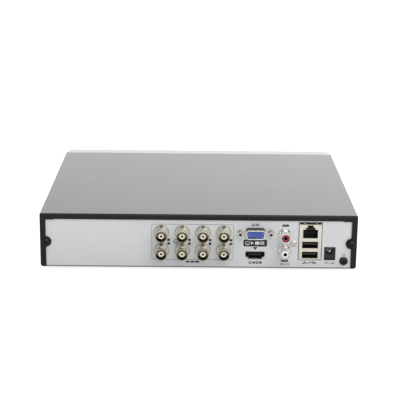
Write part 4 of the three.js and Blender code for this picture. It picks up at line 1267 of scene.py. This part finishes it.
def build_board():
    place = Place("main_board")
    top = place.low.z + 1.6
    low = (place.low.x, place.low.y, place.low.z)
    board = block(low, (place.high.x, place.high.y, top), 0.0)
    mounts = [(x, y) for x in (40, -38, -118) for y in (11, 78)]
    tools = [slab(circle(x, y, 1.7, 24), 5, 15, axis="Z") for x, y in mounts]
    ground = Place("ground_screw").mid
    tools.append(block((place.low.x - 1, PANEL - 11, 5), (ground.x + 5.4, place.high.y + 1, 15)))
    piece("board", cut(board, *tools), "board", stands_for="main_board")
    for i, (x, y) in enumerate(mounts):
        bm = cross_screw(2.6, 1.6, 1.25, 3.5, 2.4)
        spun(bm, math.pi / 2, "X")
        piece(f"board_screw_{i + 1}", bm, "tin", at=(x, y, top))
    chips = [(24, 68, 12, 12, 1.5, 16), (2, 68, 12, 12, 1.5, 16), (-92, 48, 8, 9, 1.3, 10),
             (-92, 34, 8, 9, 1.3, 10), (-34, 40, 6, 4, 1.3, 4), (-20, 52, 9, 7, 1.4, 10),
             (20, 50, 6, 4, 1.2, 4)]
    for i, (x, y, w, d, h, pins) in enumerate(chips):
        chip(f"chip_{i + 1}", x, y, top, w, d, h, pins)
    for i, (x, y, r, h) in enumerate([(-110, 80, 4, 11), (-110, 30, 3.15, 8), (-102, 22, 3.15, 8),
                                      (-20, 20, 3.15, 8)]):
        capacitor(f"capacitor_{i + 1}", x, y, top, r, h)
    for i, (x, y, size) in enumerate([(-112, 60, 7), (-112, 46, 7)]):
        body = block((x - size / 2, y - size / 2, top), (x + size / 2, y + size / 2, top + 4), 0.6, 3)
        piece(f"coil_{i + 1}", body, "chip")
    magnetics = block((-98, 62, top), (-86, 78, top + 5.5), 0.3, 2)
    piece("network_transformer", magnetics, "chip")
    small = []
    for i in range(70):
        x, y = RNG.uniform(-100, 36), RNG.uniform(14, 82)
        if not any(abs(x - cx) < w / 2 + 2 and abs(y - cy) < d / 2 + 3 for cx, cy, w, d in keep_clear()):
            long_x = RNG.random() < 0.5
            w, d = (1.6, 0.8) if long_x else (0.8, 1.6)
            small.append(block((x - w / 2, y - d / 2, top), (x + w / 2, y + d / 2, top + 0.6)))
    piece("board_resistors", together(*small), "ivory")
    build_board_sockets(top)


def keep_clear():
    """What the small parts stay clear of on the board, as (x, y, width, depth)."""
    return [(24, 68, 12, 14), (2, 68, 12, 14), (-92, 48, 8, 12), (-92, 34, 8, 12), (-34, 40, 6, 6),
            (-20, 52, 9, 9), (20, 50, 6, 6), (-62, 48, 34, 34), (16, 32, 26, 26), (-92, 70, 14, 18),
            (-20, 20, 8, 8), (-102, 22, 8, 8), (-38, 78, 7, 7), (40, 78, 7, 7)]


def build_board_sockets(top):
    for name, x, w, h in (("data", -78, 16, 6.2), ("power", -50, 14, 7), ("indicator", -105, 10, 6)):
        body = block((x - w / 2, 7, top), (x + w / 2, 15, top + h), 0.3, 2)
        body = cut(body, block((x - w / 2 + 1, 6, top + 1), (x + w / 2 - 1, 12, top + h - 1)))
        piece(f"{name}_socket", body, "black")
    cell = Place("coin_cell")
    holder = turned([(cell.size.x / 2 + 0.3, top + 0.6), (cell.size.x / 2 + 2, top),
                     (cell.size.x / 2 + 2, top + 3), (cell.size.x / 2 + 0.3, top + 3)], cell.mid.x,
                     y=cell.mid.y, count=56, axis="Z")
    piece("cell_holder", holder, "black")
    r = cell.size.x / 2
    profile = [(0, cell.low.z), (r - 1, cell.low.z), (r, cell.low.z + 0.8), (r, cell.high.z - 0.3),
               (r - 0.3, cell.high.z), (0, cell.high.z)]
    bm = turned(filleted(profile, 0.12, 2), cell.mid.x, y=cell.mid.y, count=64, axis="Z")
    piece("cell", bm, "tin", stands_for="coin_cell")


def build_processor():
    place = Place("processor")
    piece("processor_package", block(place.low, place.high, 0.25, 2), "chip",
          stands_for="processor")
    sink = Place("heatsink")
    low, high = sink.low, sink.high
    foot = block(low, (high.x, high.y, low.z + 2), 0.15)
    fins = []
    pitch = (sink.size.x - 1.2) / 8
    for i in range(9):
        x = low.x + i * pitch
        fins.append(block((x, low.y, low.z + 1), (x + 1.2, high.y, high.z), 0.2, 2))
    piece("cooling_fins", joined(foot, *fins), "aluminium", stands_for="heatsink")


def build_drive():
    """The hard disk: casting, lid with its pressing and screws, circuit board, discs and head arms."""
    base = Place("hdd_base")
    lid = Place("hdd_lid")
    discs = Place("hdd_discs")
    low, high = base.low, base.high
    upright = lambda p: abs(p.z - base.mid.z) < 1
    casting = block(low, high, 3.0, 5, upright)
    casting = edge_softened(casting, 0.5, 50)
    cavity = high.z - 17.8
    casting = cut(casting, slab(circle(discs.mid.x, discs.mid.y, 48.6, 96), cavity, high.z + 1, axis="Z"))
    casting = cut(casting, block((low.x + 8, low.y + 6, cavity), (45, high.y - 6, high.z + 1), 3, 3,
                                 lambda p: abs(p.z - 23) < 3))
    casting = cut(casting, block((low.x + 4, low.y + 7, low.z - 1), (low.x + 86, high.y - 7, low.z + 3)))
    casting = cut(casting, block((low.x - 1, -72, low.z - 1), (low.x + 4.5, -22, low.z + 6)))
    piece("drive_casting", casting, "aluminium", stands_for="hdd_base")

    top = lid.high.z
    outline = rounded([(lid.low.x + 9, lid.low.y), (lid.high.x - 9, lid.low.y), (lid.high.x, lid.low.y + 9),
                       (lid.high.x, lid.high.y - 9), (lid.high.x - 9, lid.high.y),
                       (lid.low.x + 9, lid.high.y), (lid.low.x, lid.high.y - 9),
                       (lid.low.x, lid.low.y + 9)], 2.5, 4)
    plate = slab(outline, lid.low.z, top, axis="Z")
    pressing = turned([(0, top - 0.4), (43.5, top - 0.4), (44.5, top + 1), (0, top + 1)], discs.mid.x,
                      y=discs.mid.y, count=96, axis="Z")
    tray_area = block((lid.low.x + 12, lid.low.y + 14, top - 0.4), (16, lid.high.y - 14, top + 1))
    plate = edge_softened(cut(plate, pressing, tray_area), 0.12)
    piece("drive_lid", plate, "aluminium", stands_for="hdd_lid")
    spots = [(lid.low.x + 7, lid.low.y + 12), (lid.low.x + 7, lid.high.y - 12),
             (lid.mid.x - 12, lid.low.y + 4), (lid.mid.x - 12, lid.high.y - 4),
             (lid.high.x - 7, lid.low.y + 12), (lid.high.x - 7, lid.high.y - 12)]
    for i, (x, y) in enumerate(spots):
        bm = cross_screw(2.2, 0.8, 1.0, 1.2, 1.8)
        spun(bm, math.pi / 2, "X")
        piece(f"drive_screw_{i + 1}", bm, "tin", at=(x, y, top))
    label = slab(rectangle(discs.mid.x, discs.mid.y, 58, 46, 2, 4), top - 0.38, top - 0.28, axis="Z")
    piece("drive_label", label, "white_ink")
    bars = [slab(rectangle(discs.mid.x + (i % 7 - 3) * 6.4, discs.mid.y + 12 - 8 * (i // 7), 4.6, 1.2),
                 top - 0.27, top - 0.2, axis="Z") for i in range(21)]
    piece("drive_label_rules", together(*bars), "grey_ink")
    build_drive_inside()


def build_drive_inside():
    board = Place("hdd_circuit_board")
    bm = block(board.low, board.high)
    piece("drive_board", bm, "board", stands_for="hdd_circuit_board")
    discs = Place("hdd_discs")
    r = discs.size.x / 2
    z0, z1 = discs.low.z, discs.high.z
    profile = [(0, z0), (12.5, z0), (12.5, 18), (r, 18), (r, 19.3), (12.5, 19.3), (12.5, 24), (r, 24),
               (r, 25.3), (12.5, 25.3), (12.5, z1 - 0.5), (12, z1), (9, z1), (8.5, z1 - 0.8), (0, z1 - 0.8)]
    bm = turned(filleted(profile, 0.15, 2), discs.mid.x, y=discs.mid.y, count=128, axis="Z")
    piece("drive_discs", bm, "mirror", "discs", "hdd_discs")
    build_head_arms()


def build_head_arms():
    """Three arms on one pivot, parked beside the discs, with a coil behind."""
    place = Place("hdd_head_arms")
    pivot = Vector((10, -66, 0))
    arms = []
    for z in (16, 21.1, 26.5):
        outline = rounded([(0, -7), (46, -1.8), (54, -1.4), (54, 1.4), (46, 1.8), (0, 7)],
                          [0, 2, 0.6, 0.6, 2, 0], 3)
        bm = slab(outline, z, z + 1, [circle(14, 0, 2.6, 24), circle(24, 0, 1.9, 24)], axis="Z")
        arms.append(bm)
    coil = slab(rounded([(0, -5), (0, 5), (-12, 8.5), (-20, 8.5), (-20, -8.5), (-12, -8.5)],
                        [0, 0, 2, 2, 2, 2], 4), 20.4, 22.8, axis="Z")
    hub = turned(filleted([(0, place.low.z), (7, place.low.z), (7, place.high.z), (3, place.high.z),
                           (3, place.high.z - 1), (0, place.high.z - 1)], 0.25, 2), count=48, axis="Z")
    whole = joined(hub, coil, *arms)
    spun(whole, math.radians(67.2), "Z")
    piece("drive_head_arms", whole, "aluminium", "head_arms", "hdd_head_arms", tuple(pivot))


def build_leads():
    """The three leads inside the case, each with its plugs, on the routes that the CAD gives them."""
    edge = Place("main_board").low.y - CLEAR
    drive_x = Place("hdd_base").low.x - CLEAR
    data = [(drive_x - 12, -62, 10.3), (drive_x - 22, -62, 12.3), (-66, -59, 17), (-76, -46, 20),
            (-78, -28, 18), (-78, edge - 12, 13)]
    plugs = [block((drive_x - 14, -68, 7.8), (drive_x, -56, 12.8), 0.6),
             block((-84, edge - 14, 10.5), (-72, edge, 15.5), 0.6)]
    piece("data_lead", joined(pipe(data, 2.0, 16, 60), *plugs), "red_lead",
          stands_for="sata_data_lead")
    power = [(drive_x - 10, -38, 10.5), (drive_x - 18, -37, 14.5), (-50, -29, 19), (-50, edge - 7, 13.9)]
    plugs = [block((drive_x - 12, -50, 7.8), (drive_x, -26, 13.2), 0.6),
             block((-56, edge - 9, 10.9), (-44, edge, 16.9), 0.6)]
    piece("power_lead", joined(pipe(power, 2.4, 16, 60), *plugs), "dark_lead",
          stands_for="sata_power_lead")
    board_y = Place("indicator_board").low.y + 0.8
    signal = [(-105, edge - 4, 12.4), (-105, -14, 11), (-104, -50, 6), (-99, -80, 7), (-87, -93, 12),
              (-87, board_y + 8.6, 13)]
    plugs = [block((-109.5, edge - 6, 10.2), (-100.5, edge, 15.2), 0.5),
             block((-91, board_y + 5.9, 10.5), (-83, board_y + 10.6, 15.5), 0.5)]
    piece("signal_lead", joined(pipe(signal, 1.4, 16, 80), *plugs), "dark_lead",
          stands_for="indicator_lead")


def build_indicators():
    place = Place("indicator_board")
    low, high = place.low, place.high
    sheet = block((low.x, low.y + 0.8, low.z), (high.x, low.y + 2.4, high.z), 0.1)
    piece("signal_board", sheet, "board", stands_for="indicator_board")
    header = block((-91, low.y + 2.4, 10.5), (-83, high.y, 15.5), 0.3)
    piece("signal_header", header, "ivory")
    lamps = [block((x - 1.5, low.y, 13.1), (x + 1.5, low.y + 0.9, 14.9), 0.1) for x in (-72, -82, -92)]
    piece("signal_lamps", together(*lamps), "ivory")
    guide = Place("light_guide")
    bar = block((guide.low.x, guide.high.y - 2, guide.low.z), guide.high, 0.3)
    front = guide.low.y
    prongs = []
    for x in (-72, -82, -92):
        profile = [(0, front), (1.0, front), (1.3, front + 0.35), (1.3, guide.high.y - 1),
                   (0, guide.high.y - 1)]
        prongs.append(turned(profile, x, 14, count=32))
    piece("indicator_lenses", joined(bar, *prongs), "lens", stands_for="light_guide")
    build_front_marks()


def build_front_marks():
    """Pictograms over the three indicators: power, disc and network."""
    y = BEZEL.low.y - 0.005
    z = 17.4
    power = circle(-72, z, 0.9, 24)
    shapes = [slab(power, y - PRINT, y, [circle(-72, z, 0.62, 24)]),
              slab(rectangle(-72, z + 0.75, 0.3, 1.1), y - 2 * PRINT, y - PRINT)]
    shapes += [slab(circle(-82, z, 0.95, 24), y - PRINT, y, [circle(-82, z, 0.35, 16)])]
    shapes += [slab(rectangle(-92 + dx, z + dz, 0.8, 0.7), y - PRINT, y)
               for dx, dz in ((0, 0.55), (-0.8, -0.55), (0.8, -0.55))]
    piece("front_icons", together(*shapes), "grey_ink")


# ---------------------------------------------------------------- floor, light and camera


def build_stage():
    floor_finish = Finish("studio_floor", (0.55, 0.55, 0.55), 0.8, specular=0.2)
    floor_finish.shader.inputs["Emission Color"].default_value = (1, 1, 1, 1)
    # The floor looks white, and lights the case from below less than it looks.
    tree = floor_finish.material.node_tree
    seen = tree.nodes.new("ShaderNodeLightPath").outputs["Is Camera Ray"]
    glow = tree.nodes.new("ShaderNodeMapRange")
    glow.inputs["To Min"].default_value = 0.1
    glow.inputs["To Max"].default_value = 0.8
    tree.links.new(seen, glow.inputs["Value"])
    tree.links.new(glow.outputs["Result"], floor_finish.shader.inputs["Emission Strength"])
    mesh = bpy.data.meshes.new("studio_floor")
    corners = [(-HALF_FLOOR, -HALF_FLOOR, 0), (HALF_FLOOR, -HALF_FLOOR, 0), (HALF_FLOOR, HALF_FLOOR, 0),
               (-HALF_FLOOR, HALF_FLOOR, 0)]
    mesh.from_pydata(corners, [], [(0, 1, 2, 3)])
    mesh.materials.append(floor_finish.material)
    floor = bpy.data.objects.new("studio_floor", mesh)
    bpy.context.scene.collection.objects.link(floor)


def area_light(name, place, target, size, power):
    lamp = bpy.data.lights.new(name, "AREA")
    lamp.shape = "RECTANGLE"
    lamp.size, lamp.size_y = size
    lamp.energy = power
    obj = bpy.data.objects.new(name, lamp)
    obj.location = place
    obj.rotation_euler = (Vector(target) - Vector(place)).to_track_quat("-Z", "Y").to_euler()
    bpy.context.scene.collection.objects.link(obj)
    return obj


def build_light():
    """A soft box over the rear, and a studio whose far wall, on the bezel's side, is bright."""
    build_studio_walls()
    area_light("soft_box", (-0.55, 1.3, 1.2), (0, 0.1, 0), (2.0, 1.4), SOFT_BOX_WATTS)
    bpy.context.scene.view_settings.view_transform = "Standard"


def build_studio_walls():
    """The world: dim walls all round, and a bright band low on the -Y side, brighter towards -X."""
    world = bpy.data.worlds.new("studio")
    world.use_nodes = True
    tree = world.node_tree
    background = tree.nodes["Background"]
    background.inputs["Color"].default_value = (1.0, 1.0, 1.0, 1.0)
    direction = tree.nodes.new("ShaderNodeTexCoord").outputs["Generated"]
    split = tree.nodes.new("ShaderNodeSeparateXYZ")
    tree.links.new(direction, split.inputs["Vector"])

    def ramp(value, start, end, low, high):
        node = tree.nodes.new("ShaderNodeMapRange")
        node.interpolation_type = "SMOOTHSTEP"
        for socket, number in zip(("From Min", "From Max", "To Min", "To Max"), (start, end, low, high)):
            node.inputs[socket].default_value = number
        tree.links.new(value, node.inputs["Value"])
        return node.outputs["Result"]

    def calculate(operation, a, b):
        node = tree.nodes.new("ShaderNodeMath")
        node.operation = operation
        for socket, value in zip(node.inputs, (a, b)):
            if isinstance(value, float):
                socket.default_value = value
            else:
                tree.links.new(value, socket)
        return node.outputs["Value"]

    towards_back = ramp(split.outputs["Y"], -0.1, -0.75, 0.0, 1.0)
    low_down = ramp(split.outputs["Z"], 0.6, 1.1, 1.0, 0.0)
    sideways = ramp(split.outputs["X"], -0.3, 0.3, BAND_RIGHT, BAND_LEFT)
    band = calculate("MULTIPLY", calculate("MULTIPLY", towards_back, low_down), sideways)
    seen = tree.nodes.new("ShaderNodeLightPath").outputs["Is Camera Ray"]
    strength = calculate("MAXIMUM", calculate("ADD", band, WALL_LIGHT), seen)
    tree.links.new(strength, background.inputs["Strength"])
    bpy.context.scene.world = world


def build_camera():
    """The fitted view from behind: the distance and angles that the case's edges give."""
    rear = COVER.high.y * MM
    place = Vector((CAMERA_X, rear + CAMERA_BACK, CAMERA_Z))
    tilted = Matrix.Rotation(CAMERA_ROLL, 3, "Z") @ Matrix.Rotation(CAMERA_PITCH, 3, "X")
    turn = tilted @ Matrix.Rotation(CAMERA_YAW, 3, "Y")
    rows = turn @ Matrix(((-1, 0, 0), (0, 0, -1), (0, -1, 0)))
    right, down, forward = rows[0], rows[1], rows[2]
    basis = Matrix((right, -down, -forward)).transposed()
    lens = bpy.data.cameras.new("camera")
    lens.sensor_width = SENSOR
    lens.lens = SENSOR * FOCAL
    lens.clip_start, lens.clip_end = 0.05, 30.0
    camera = bpy.data.objects.new("camera", lens)
    camera.matrix_world = Matrix.Translation(place) @ basis.to_4x4()
    bpy.context.scene.collection.objects.link(camera)
    bpy.context.scene.camera = camera


build_camera()
build_light()
build_stage()
build_cover()
build_tray()
build_bezel()
build_feet()
build_screws()
build_video_inputs()
build_display_socket()
build_digital_video()
build_audio_sockets()
build_network_stack()
build_power_socket()
build_marks()
build_board()
build_processor()
build_drive()
build_leads()
build_indicators()
